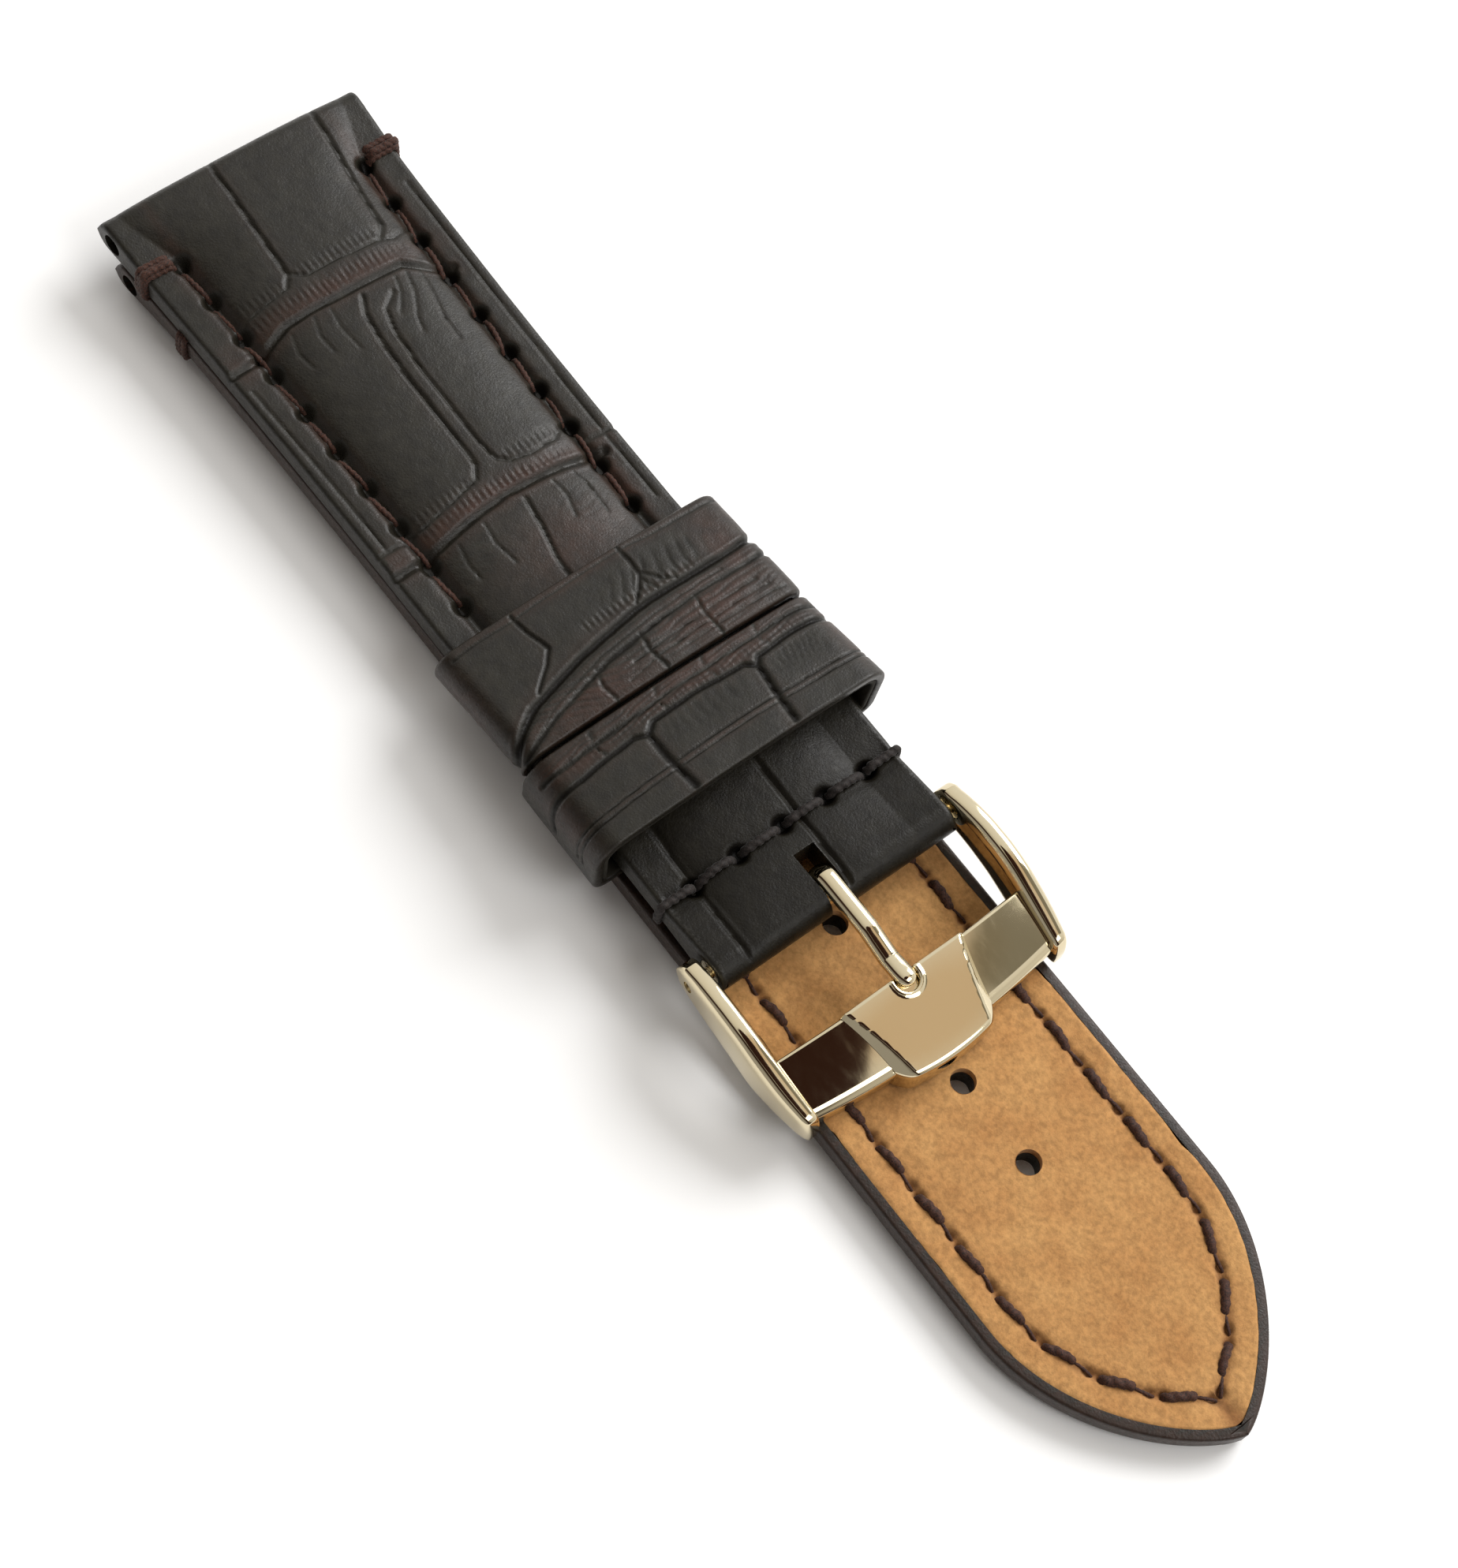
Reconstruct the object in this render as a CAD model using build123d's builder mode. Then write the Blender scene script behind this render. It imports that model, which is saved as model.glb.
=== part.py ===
from build123d import *
from math import sqrt
import os

os.makedirs("parts", exist_ok=True)

# Leather watch strap in two pieces. The buckle piece lies face up on the tail piece, which lies face down.
# X runs from the lug end to the tail's tip, Z is up, and the floor is at zero. Distances along a piece are
# counted from its own lug end.

# Widths and lengths of the strap
lug_width = 22.0
buckle_width = 20.2
taper_length = 38.0
taper_power = 2
buckle_side_length = 72.4
tail_length = 113.0
tail_setback = 2.0
tip_length = 15.0
tip_flat_width = 1.2

# Leather layers
upper_thickness = 0.9
reinforcement_thickness = 0.15
lining_thickness = 0.75
layer_clearance = 0.02
stack_gap = 0.1
lug_crown = 1.3
buckle_crown = 0.6
tip_crown = 0.35
lug_edge_extra = 0.7
flange_width = 3.2
lug_flange_width = 1.4
lug_blend_length = 8.0
lug_block_length = 5.0
edge_turn = 0.75
reinforcement_inset = 0.95
filler_inset = 0.5
pad_fade_length = 6.0
pad_end_height = 0.2
pad_tip_height = 0.03
tip_flat_start = 1.5

# Tunnels for the watch's spring bars
lug_tunnel_radius = 0.85
lug_tunnel_distance = 1.75
lug_nose_depth = 1.3

# Rise of the buckle piece over the free keeper's lower run
keeper_lift = 1.5
lift_start = 40.0
lift_length = 12.5

# Turned end round the spring bar
roll_radius = 1.55
roll_step = 0.03
end_block_start = 66.4
tongue_slot_length = 3.0

# Spring bar
barrel_radius = 0.9
barrel_bore_radius = 0.68
barrel_lip_length = 0.5
barrel_end_gap = 0.25
barrel_seat_clearance = 0.05
pivot_radius = 0.42
pivot_head_length = 1.0
pivot_recess = 0.1
pivot_travel = 1.5
running_clearance = 0.05
spring_wall = 0.2

# Stitching
thread_height = 0.35
thread_width = 0.75
seam_inset = 2.75
seam_start = 6.1
stitch_pitch = 3.72
stitch_share = 0.8
buckle_side_stitch_count = 9
tail_stitch_pitch = 4.15
tail_stitch_share = 0.72
cross_seam_distance = 65.6
cross_seam_pitch = 3.75
tack_width = 1.0
tack_distance = 5.7
tail_tack_distance = 8.2

# Size holes of the tail piece
hole_count = 7
hole_pitch = 6.85
hole_radius = 0.9
hole_tip_distance = 22.1

# Keepers
keeper_leather = 0.75
keeper_lining = 0.45
keeper_gap = 0.3
keeper_low_radius = 1.3
fixed_keeper_high_radius = 1.6
free_keeper_high_radius = 2.3
fixed_keeper_start = 42.6
fixed_keeper_length = 10.1
fixed_keeper_low_half = 12.3
fixed_keeper_high_half = 11.9
fixed_keeper_foot = 0.35
fixed_keeper_shoulder = 3.45
fixed_keeper_crown = 4.0
free_keeper_length = 8.3
free_keeper_floor_gap = 0.13
free_keeper_low_step = 0.15
free_keeper_far_half = 12.3
free_keeper_near_half = 12.8
free_keeper_far_shoulder = 4.8
free_keeper_far_crown = 5.4
free_keeper_near_shoulder = 6.3
free_keeper_near_crown = 7.0

# Buckle frame
window_half_width = 10.3
arm_end_thickness = 1.25
arm_bow = 0.6
arm_head_radius = 1.45
arm_length = 11.9
arm_rise = 0.4
arm_corner_radius = 0.8
window_bow = 0.4
bar_back_reach = 7.3
bar_bow = 0.55
bar_front_reach = 12.6
bar_bulge = 0.8
bar_back_thickness = 3.5
bar_front_thickness = 2.1
bar_step = 0.2
bar_floor_gap = 0.15
plate_half_width = 5.0
plate_front_half = 4.1
plate_front_reach = 14.0
plate_bulge = 0.8
plate_step = 0.35
plate_bevel = 0.6
notch_width = 1.9
notch_depth = 1.3
notch_height = 0.85
edge_round = 0.35

# Tongue
tongue_width = 1.5
tongue_thickness = 1.1
tongue_loop_wall = 0.85
tongue_reach = 8.7
tongue_kink_reach = 4.2
tongue_kink_drop = 0.35
tongue_side_clearance = 0.25
tongue_notch_clearance = 0.1

# One overrun for all cuts
overrun = 1.0

# Shares
middle_share = 0.5
crown_flat_share = 0.45
stitch_taper_share = 0.3
nose_shares = ((0, 0.34), (0.25, 0.12), (1, 0))
body_shares = (0, 0.5, 1)
keeper_shares = (0, 0.35, 0.7, 1)
roll_edge_share = 0.25
bar_fall_share = 0.4
arm_under_share = 0.75
arm_bow_share = 0.55
tail_body_shares = (0.12, 0.3, 0.6, 1)
tip_inset_share = 1.15
tip_outline_shares = ((0.4, 0.84), (0.74, 0.5))

# Places worked out from the sizes
flange_thickness = upper_thickness + reinforcement_thickness + lining_thickness
stack_length = tail_setback + tail_length
start_x = -stack_length / 2
axis_distance = buckle_side_length - roll_radius
axis_x = start_x + axis_distance
free_keeper_start = fixed_keeper_start + fixed_keeper_length + keeper_gap
fixed_keeper_end = fixed_keeper_start + fixed_keeper_length
keeper_thickness = keeper_leather + layer_clearance + keeper_lining
free_keeper_low_half = fixed_keeper_low_half - free_keeper_low_step


def between(start, end, share):
    """Value at a share of the way from start to end."""
    return start + (end - start) * share


def smooth(share):
    """Share eased at both ends, and held within 0 and 1."""
    held = min(max(share, 0), 1)
    return held * held * (3 - 2 * held)


def half_width_at(distance):
    """Half the strap's width: it narrows from the lug end and then runs parallel."""
    left = max(0, 1 - distance / taper_length)
    return buckle_width / 2 + (lug_width - buckle_width) / 2 * left ** taper_power


def lug_share(distance):
    """1 at the lug end and 0 where the stitched edges have their full width."""
    return 1 - smooth(distance / lug_blend_length)


def edge_thickness_at(distance):
    """Thickness of the strap's stitched edges."""
    return flange_thickness + lug_edge_extra * lug_share(distance)


def crown_half_at(distance):
    """Half the width of the padded crown."""
    return half_width_at(distance) - between(flange_width, lug_flange_width, lug_share(distance))


def tail_crown_at(distance):
    """Height of the tail piece's crown beyond its stitched edges."""
    return between(lug_crown, tip_crown, distance / tail_length)


def tail_thickness_at(distance):
    """Full thickness of the tail piece, which is also the height of its lining above the floor."""
    return flange_thickness + tail_crown_at(distance)


def buckle_crown_at(distance):
    """Height of the buckle piece's crown beyond its stitched edges."""
    return between(lug_crown, buckle_crown, distance / axis_distance)


def base_at(distance):
    """Height of the underside of the buckle piece's lining."""
    rise = keeper_lift * smooth((distance - lift_start) / lift_length)
    return tail_thickness_at(distance - tail_setback) + stack_gap + rise


def crown_height_at(distance, side):
    """Height of the buckle piece's top face at a distance to one side of its middle line."""
    half = crown_half_at(distance)
    crown = buckle_crown_at(distance)
    flat_half = half * crown_flat_share
    radius = ((half - flat_half) ** 2 + crown ** 2) / (2 * crown)
    flange_top = base_at(distance) + flange_thickness
    if side >= half:
        return flange_top
    return flange_top + crown - radius + sqrt(radius ** 2 - max(0, side - flat_half) ** 2)


axis_z = base_at(axis_distance) + (flange_thickness + buckle_crown) / 2


def profile_edge(half, flat, middle):
    """Line across the strap, or a flat middle between two rounded shoulders when it stands off the flat."""
    if middle == flat:
        Line((-half, flat), (half, flat))
    else:
        flat_half = half * crown_flat_share
        TangentArc((-flat_half, middle), (-half, flat), tangent=(-1, 0))
        Line((-flat_half, middle), (flat_half, middle))
        TangentArc((flat_half, middle), (half, flat), tangent=(1, 0))


def strap_section(x, half, crown_half, low, high):
    """Cross-section of one layer: low and high each give the height of the flat edges and of the middle."""
    with BuildSketch(Plane.YZ.offset(x)) as section:
        with BuildLine():
            Line((-half, low[0]), (-crown_half, low[0]))
            profile_edge(crown_half, *low)
            Line((crown_half, low[0]), (half, low[0]))
            Line((half, low[0]), (half, high[0]))
            Line((half, high[0]), (crown_half, high[0]))
            profile_edge(crown_half, *high)
            Line((-crown_half, high[0]), (-half, high[0]))
            Line((-half, high[0]), (-half, low[0]))
        make_face()
    return section.sketch


def filler_section(x, half, flat, middle, start):
    """Cross-section of the padding or its cavity: the crown's curve over a foot down to start."""
    with BuildSketch(Plane.YZ.offset(x)) as section:
        with BuildLine():
            Polyline((-half, flat), (-half, start), (half, start), (half, flat))
            profile_edge(half, flat, middle)
        make_face()
    return section.sketch


def flat_layer(piece_x, stations, half, low, thickness, mode=Mode.ADD):
    """Flat layer that follows the strap. half and low are functions of the distance."""
    sections = []
    for distance in stations:
        with BuildSketch(Plane.YZ.offset(piece_x + distance)) as section:
            with Locations((0, low(distance) + thickness / 2)):
                Rectangle(2 * half(distance), thickness)
        sections.append(section.sketch)
    loft(sections, ruled=True, mode=mode)


def pocket_half_at(distance):
    """Half the width between the turned edges of the upper leather, where the lining lies."""
    return half_width_at(distance) - edge_turn


def lining_half_at(distance):
    """Half the width of the lining."""
    return pocket_half_at(distance) - layer_clearance


def reinforcement_half_at(distance):
    """Half the width of the reinforcement."""
    return half_width_at(distance) - reinforcement_inset


backing_thickness = lining_thickness + reinforcement_thickness


def padding(piece_x, stations, under, pad, direction, inset, clearance, mode=Mode.ADD):
    """Padding, or with no inset its cavity. under and pad are functions of the distance."""
    sections = []
    first = stations[0] + clearance
    last = stations[-1] - clearance
    for distance in stations:
        half = crown_half_at(distance) - inset
        rise = pad(distance) - 3 * clearance
        flat = under(distance) + direction * 2 * clearance
        start = flat - direction * (reinforcement_thickness if inset == 0 else clearance)
        sections.append(filler_section(piece_x + min(max(distance, first), last), half, flat,
                                       flat + direction * rise, start))
    loft(sections, ruled=True, mode=mode)


# Stations along the buckle piece
lug_stations = [between(lug_block_length, lug_blend_length, share) for share in body_shares]
middle_stations = [between(lug_blend_length, lift_start, share) for share in body_shares[1:]]
keeper_stations = [between(fixed_keeper_start, fixed_keeper_end, share) for share in keeper_shares]
end_stations = [free_keeper_start + free_keeper_length, end_block_start]
body_stations = lug_stations + middle_stations + keeper_stations + end_stations


def lug_nose(piece_x, base_height, crown_height, direction):
    """Solid lug end, with its rounded nose, that holds the tunnel. direction is 1 with the crown up.

    The nose's pairs are shares of its depth and of the thickness cut there.
    """
    stations = [(lug_nose_depth * along_share, cut_share) for along_share, cut_share in nose_shares]
    stations.append((lug_block_length, 0))
    sections = []
    for distance, cut_share in stations:
        flat = base_height(distance)
        edge = flat + direction * edge_thickness_at(distance)
        middle = flat + direction * (flange_thickness + crown_height(distance))
        trim = direction * cut_share * edge_thickness_at(distance)
        faces = sorted(((flat + trim, flat + trim), (edge - trim, middle - trim)))
        sections.append(strap_section(piece_x + distance, half_width_at(distance), crown_half_at(distance),
                                      *faces))
    loft(sections, ruled=True)


def tunnel(x, z, radius, length):
    """Round hole across the strap."""
    with BuildSketch(Plane.XZ) as hole:
        with Locations((x, z)):
            Circle(radius)
    extrude(hole.sketch, amount=length / 2 + overrun, both=True, mode=Mode.SUBTRACT)


def buckle_under_at(distance):
    """Height of the top of the buckle piece's reinforcement."""
    return base_at(distance) + backing_thickness


with BuildPart() as buckle_side_upper:
    lug_nose(start_x, base_at, buckle_crown_at, 1)
    body_sections = []
    for distance in body_stations:
        base = base_at(distance)
        edge = base + edge_thickness_at(distance)
        top = base + flange_thickness + buckle_crown_at(distance)
        body_sections.append(strap_section(start_x + distance, half_width_at(distance),
                                           crown_half_at(distance), (base, base), (edge, top)))
    loft(body_sections, ruled=True)
    flat_layer(start_x, body_stations, pocket_half_at, lambda distance: base_at(distance) - overrun,
               backing_thickness + overrun, Mode.SUBTRACT)
    padding(start_x, body_stations, buckle_under_at, buckle_crown_at, 1, 0, 0, Mode.SUBTRACT)
    end_half = half_width_at(axis_distance)
    end_crown = buckle_crown_at(end_block_start)
    end_edge = base_at(end_block_start) + flange_thickness
    end_base = base_at(end_block_start)
    roll_top = axis_z + roll_radius - roll_step
    loft([
        strap_section(start_x + end_block_start, end_half, crown_half_at(end_block_start),
                      (end_base, end_base), (end_edge, end_edge + end_crown)),
        strap_section(axis_x, end_half, crown_half_at(end_block_start),
                      (axis_z - roll_radius, axis_z - roll_radius),
                      (between(roll_top, roll_top - buckle_crown, roll_edge_share), roll_top)),
    ], ruled=True)
    with BuildSketch(Plane.XZ):
        with Locations((axis_x, axis_z)):
            Circle(roll_radius)
    extrude(amount=end_half, both=True)
    tunnel(start_x + lug_tunnel_distance, base_at(lug_tunnel_distance) + edge_thickness_at(0) / 2,
           lug_tunnel_radius, lug_width)
    tunnel(axis_x, axis_z, barrel_radius + barrel_seat_clearance, buckle_width)
    slot_end = axis_x + roll_radius + overrun
    with BuildSketch(Plane.XY):
        with Locations(((axis_x - tongue_slot_length + slot_end) / 2, 0)):
            Rectangle(slot_end - axis_x + tongue_slot_length, tongue_width + 2 * tongue_side_clearance)
    extrude(amount=axis_z + roll_radius + overrun, mode=Mode.SUBTRACT)
buckle_side_upper.part.label = "buckle_side_upper"

with BuildPart() as buckle_side_filler:
    padding(start_x, body_stations, buckle_under_at, buckle_crown_at, 1, filler_inset, layer_clearance)
buckle_side_filler.part.label = "buckle_side_filler"

layer_start = lug_block_length + layer_clearance
layer_end = end_block_start - layer_clearance
layer_stations = [layer_start] + body_stations[1:-1] + [layer_end]

with BuildPart() as buckle_side_lining:
    flat_layer(start_x, layer_stations, lining_half_at, base_at, lining_thickness)
buckle_side_lining.part.label = "buckle_side_lining"

with BuildPart() as buckle_side_reinforcement:
    flat_layer(start_x, layer_stations, reinforcement_half_at,
               lambda distance: base_at(distance) + lining_thickness + layer_clearance,
               reinforcement_thickness - layer_clearance)
buckle_side_reinforcement.part.label = "buckle_side_reinforcement"


def stitch(x, y, z, length, angle, height):
    """One stitch lying on a face at height z, tapered at both ends."""
    full_half = length / 2 * (1 - stitch_taper_share)
    with BuildSketch(Plane.XY.offset(z)) as outline:
        with Locations(Location((x, y), angle)):
            Polygon((-length / 2, 0), (-full_half, -thread_width / 2), (full_half, -thread_width / 2),
                    (length / 2, 0), (full_half, thread_width / 2), (-full_half, thread_width / 2))
    extrude(outline.sketch, amount=height)


def side_seam(side):
    """Stitch row along one edge of the buckle piece's crown."""
    for index in range(buckle_side_stitch_count):
        distance = seam_start + stitch_pitch * (index + middle_share)
        start = distance - stitch_pitch * stitch_share / 2
        stitch(start_x + distance, side * (half_width_at(distance) - seam_inset),
               base_at(start) + edge_thickness_at(start) + layer_clearance, stitch_pitch * stitch_share, 0,
               thread_height)


with BuildPart() as buckle_side_seam_left:
    side_seam(1)
buckle_side_seam_left.part.label = "buckle_side_seam_left"

with BuildPart() as buckle_side_seam_right:
    side_seam(-1)
buckle_side_seam_right.part.label = "buckle_side_seam_right"


def edge_loop(x, half, face, far_face, reach, side, direction):
    """Thread loop from a seam over the strap's edge: one run on the face and one down the edge."""
    inner = half - reach
    outer = half + layer_clearance + thread_height
    near = face + direction * layer_clearance
    with BuildSketch(Plane.YZ.offset(x - tack_width / 2)) as outline:
        with BuildLine():
            Polyline((side * inner, near), (side * (half + layer_clearance), near),
                     (side * (half + layer_clearance), far_face), (side * outer, far_face),
                     (side * outer, near + direction * thread_height),
                     (side * inner, near + direction * thread_height), close=True)
        make_face()
    extrude(outline.sketch, amount=tack_width)


with BuildPart() as buckle_side_lug_tacks:
    for side in (-1, 1):
        half = half_width_at(tack_distance - tack_width / 2)
        start = tack_distance - tack_width / 2
        edge_loop(start_x + tack_distance, half, base_at(start) + edge_thickness_at(start),
                  base_at(tack_distance) + layer_clearance, seam_inset, side, 1)
buckle_side_lug_tacks.part.label = "buckle_side_lug_tacks"

with BuildPart() as buckle_side_cross_seam:
    for index in (-2, -1, 1, 2):
        place = cross_seam_pitch * (index - index / abs(index) / 2)
        inner_side = abs(place) - cross_seam_pitch * stitch_share / 2
        stitch(start_x + cross_seam_distance, place,
               crown_height_at(cross_seam_distance, inner_side) + layer_clearance,
               cross_seam_pitch * stitch_share, 90, thread_height)
    for side in (-1, 1):
        edge_loop(start_x + cross_seam_distance, half_width_at(cross_seam_distance),
                  base_at(cross_seam_distance) + flange_thickness + layer_clearance,
                  base_at(cross_seam_distance) + layer_clearance,
                  half_width_at(cross_seam_distance) - 2 * cross_seam_pitch - thread_width, side, 1)
buckle_side_cross_seam.part.label = "buckle_side_cross_seam"


def loop_section(x, inset, bottom, shoulder, crown, low_half, high_half, high_radius):
    """Outline of a keeper at one station, moved inwards by inset."""
    with BuildSketch(Plane.YZ.offset(x)) as section:
        with BuildLine():
            Polyline((-(high_half - inset), shoulder - inset), (-(low_half - inset), bottom + inset),
                     (low_half - inset, bottom + inset), (high_half - inset, shoulder - inset))
            ThreePointArc((high_half - inset, shoulder - inset), (0, crown - inset),
                          (-(high_half - inset), shoulder - inset))
        make_face()
        corners = vertices().sort_by(Axis.Y)
        fillet(corners[:2], keeper_low_radius - inset)
        fillet(vertices().sort_by(Axis.Y)[-2:], high_radius - inset)
    return section.sketch


def fixed_keeper_loft(inset, mode):
    """Body of the fixed keeper, which follows the buckle piece."""
    sections = []
    for distance in keeper_stations:
        base = base_at(distance)
        sections.append(loop_section(
            start_x + distance, inset, base + fixed_keeper_foot, base + fixed_keeper_shoulder,
            base + fixed_keeper_crown, fixed_keeper_low_half, fixed_keeper_high_half,
            fixed_keeper_high_radius))
    loft(sections, ruled=True, mode=mode)


def strap_clearance():
    """Room for the strap between the two feet of the fixed keeper."""
    flat_layer(start_x, keeper_stations, lambda distance: half_width_at(distance) + layer_clearance,
               base_at, 2 * keeper_thickness, Mode.SUBTRACT)


with BuildPart() as fixed_keeper:
    fixed_keeper_loft(0, Mode.ADD)
    fixed_keeper_loft(keeper_leather, Mode.SUBTRACT)
    strap_clearance()
fixed_keeper.part.label = "fixed_keeper"

with BuildPart() as fixed_keeper_lining:
    fixed_keeper_loft(keeper_leather + layer_clearance, Mode.ADD)
    fixed_keeper_loft(keeper_thickness, Mode.SUBTRACT)
    strap_clearance()
fixed_keeper_lining.part.label = "fixed_keeper_lining"

free_keeper_bottom = tail_thickness_at(free_keeper_start - tail_setback) + free_keeper_floor_gap
free_keeper_sections = (
    (free_keeper_start, free_keeper_far_shoulder, free_keeper_far_crown, free_keeper_far_half),
    (free_keeper_start + free_keeper_length, free_keeper_near_shoulder, free_keeper_near_crown,
     free_keeper_near_half),
)


def free_keeper_loft(inset, mode):
    """Body of the free keeper, taller at the end near the buckle."""
    loft([
        loop_section(start_x + distance, inset, free_keeper_bottom, free_keeper_bottom + shoulder,
                     free_keeper_bottom + crown, free_keeper_low_half, high_half, free_keeper_high_radius)
        for distance, shoulder, crown, high_half in free_keeper_sections
    ], ruled=True, mode=mode)


with BuildPart() as free_keeper:
    free_keeper_loft(0, Mode.ADD)
    free_keeper_loft(keeper_leather, Mode.SUBTRACT)
free_keeper.part.label = "free_keeper"

with BuildPart() as free_keeper_lining:
    free_keeper_loft(keeper_leather + layer_clearance, Mode.ADD)
    free_keeper_loft(keeper_thickness, Mode.SUBTRACT)
free_keeper_lining.part.label = "free_keeper_lining"

# Buckle frame: two bowed arms that run down to a bar, with a raised plate in the middle of the bar
bar_floor = tail_thickness_at(axis_distance + bar_front_reach - tail_setback) + bar_floor_gap
arm_bottom = axis_z - arm_head_radius
bar_back_x = axis_x + bar_back_reach
bar_front_x = axis_x + bar_front_reach
arm_front_x = axis_x + arm_length
frame_back_top = axis_z + arm_head_radius
arm_outer_half = window_half_width + arm_end_thickness


def bar_profile(front_x, step):
    """Side view of the bar, seen across the strap, with its top face moved up by step."""
    back_top = bar_floor + bar_back_thickness + step
    front_top = bar_floor + bar_front_thickness + step
    middle_x = between(bar_back_x, front_x, middle_share)
    with BuildLine() as outline:
        ThreePointArc((bar_back_x, back_top), (middle_x, between(back_top, front_top, bar_fall_share)),
                      (front_x, front_top))
        Polyline((front_x, front_top), (front_x, bar_floor + edge_round),
                 (front_x - edge_round, bar_floor), (bar_back_x + bar_step, bar_floor),
                 (bar_back_x, bar_floor + bar_step), (bar_back_x, back_top))
    make_face(outline.edges())


def bar_block(front_x, step, back_half, front_half, bulge):
    """Piece of the bar whose front edge, seen from above, bulges out to front_x."""
    with BuildSketch(Plane.XZ) as side_view:
        bar_profile(front_x, step)
    extrude(side_view.sketch, amount=back_half, both=True)
    with BuildSketch(Plane.XY) as top_view:
        with BuildLine() as outline:
            for side in (-1, 1):
                Line((bar_back_x, side * back_half), (front_x - bulge, side * front_half))
            Line((bar_back_x, -back_half), (bar_back_x, back_half))
            ThreePointArc((front_x - bulge, -front_half), (front_x, 0), (front_x - bulge, front_half))
        make_face(outline.edges())
    extrude(top_view.sketch, amount=frame_back_top + overrun, mode=Mode.INTERSECT)


with BuildPart() as bar:
    bar_block(bar_front_x, 0, window_half_width + window_bow, window_half_width + window_bow, bar_bulge)

with BuildPart() as bar_plate:
    bar_block(axis_x + plate_front_reach, plate_step, plate_half_width, plate_front_half, plate_bulge)
    side_faces = bar_plate.faces().sort_by(Axis.Y)
    top_edges = [face.edges().sort_by(Axis.Z)[-1] for face in (side_faces[0], side_faces[-1])]
    chamfer(top_edges, length=plate_bevel)


def bowed_plan(back_x, front_x, half, bow):
    """Outline seen from above between two sides that bow out."""
    with BuildLine() as outline:
        for side in (-1, 1):
            ThreePointArc((back_x, side * half),
                          (between(back_x, front_x, arm_bow_share), side * (half + bow)),
                          (front_x, side * half))
            Line((back_x, 0), (back_x, side * half))
            Line((front_x, 0), (front_x, side * half))
    make_face(outline.edges())


arm_back_x = axis_x - arm_head_radius
bar_back_top = bar_floor + bar_back_thickness + bar_step
arm_middle_x = between(axis_x, bar_back_x, middle_share)
with BuildPart() as buckle_frame:
    with BuildSketch(Plane.XZ):
        with BuildLine():
            rise = ThreePointArc((axis_x, frame_back_top), (arm_middle_x, frame_back_top + arm_rise),
                                 (bar_back_x, bar_back_top))
            TangentArc((bar_back_x, bar_back_top), (arm_front_x, bar_floor + bar_front_thickness + bar_step),
                       tangent=rise % 1)
            Polyline((arm_front_x, bar_floor + bar_front_thickness + bar_step), (arm_front_x, bar_floor),
                     (bar_back_x, bar_floor))
            ThreePointArc((bar_back_x, bar_floor),
                          (arm_middle_x, between(bar_floor, arm_bottom, arm_under_share)),
                          (axis_x, arm_bottom))
            ThreePointArc((axis_x, arm_bottom), (arm_back_x, axis_z), (axis_x, frame_back_top))
        make_face()
    extrude(amount=arm_outer_half + arm_bow, both=True)
    with BuildSketch(Plane.XY):
        bowed_plan(arm_back_x, arm_front_x, arm_outer_half, arm_bow)
        fillet(vertices().sort_by(Axis.X)[-2:], arm_corner_radius)
    extrude(amount=frame_back_top + overrun, mode=Mode.INTERSECT)
    with BuildSketch(Plane.XY):
        bowed_plan(arm_back_x - overrun, arm_front_x + overrun, window_half_width, window_bow)
    extrude(amount=frame_back_top + overrun, mode=Mode.SUBTRACT)
    top_edges = buckle_frame.edges().filter_by(
        lambda edge: edge.center().Z > axis_z and edge.length > arm_head_radius * 2
        and abs(edge.center().Y) > window_half_width + arm_end_thickness)
    fillet(top_edges, edge_round)
    add(bar.part)
    add(bar_plate.part)
    with BuildSketch(Plane.XY):
        with BuildLine():
            ThreePointArc((bar_back_x, -window_half_width), (bar_back_x + bar_bow, 0),
                          (bar_back_x, window_half_width))
            Polyline((bar_back_x, window_half_width), (bar_back_x - overrun, window_half_width),
                     (bar_back_x - overrun, -window_half_width), (bar_back_x, -window_half_width))
        make_face()
    extrude(amount=frame_back_top + overrun, mode=Mode.SUBTRACT)
    notch_floor = bar_floor + bar_back_thickness + plate_step - notch_height
    with BuildSketch(Plane.XY.offset(notch_floor)):
        with Locations((bar_back_x + (bar_bow + notch_depth) / 2, 0)):
            Rectangle(bar_bow + notch_depth, notch_width)
    extrude(amount=notch_height + overrun, mode=Mode.SUBTRACT)
    tunnel(axis_x, axis_z, pivot_radius + running_clearance, 2 * (arm_outer_half + arm_bow))
buckle_frame.part.label = "buckle_frame"

# Tongue: a flat loop round the spring bar, and a shank that drops at a kink and ends in the plate's notch
loop_inner_radius = barrel_radius + running_clearance
loop_outer_radius = loop_inner_radius + tongue_loop_wall
shank_top = axis_z + loop_outer_radius
tip_bottom = notch_floor + tongue_notch_clearance
with BuildPart() as buckle_tongue:
    with BuildSketch(Plane.XZ):
        with Locations((axis_x, axis_z)):
            Circle(loop_outer_radius)
        with BuildLine():
            kink_x = axis_x + tongue_kink_reach
            tip_x = axis_x + tongue_reach
            kink_top = shank_top - tongue_kink_drop
            tip_top = tip_bottom + tongue_thickness
            Polyline((axis_x, shank_top), (kink_x, kink_top), (tip_x - edge_round, tip_top),
                     (tip_x, tip_top - edge_round), (tip_x, tip_bottom),
                     (kink_x, kink_top - tongue_thickness), (axis_x, shank_top - tongue_thickness),
                     close=True)
        make_face()
        with Locations((axis_x, axis_z)):
            Circle(loop_inner_radius, mode=Mode.SUBTRACT)
    extrude(amount=tongue_width / 2, both=True)
buckle_tongue.part.label = "buckle_tongue"

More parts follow.
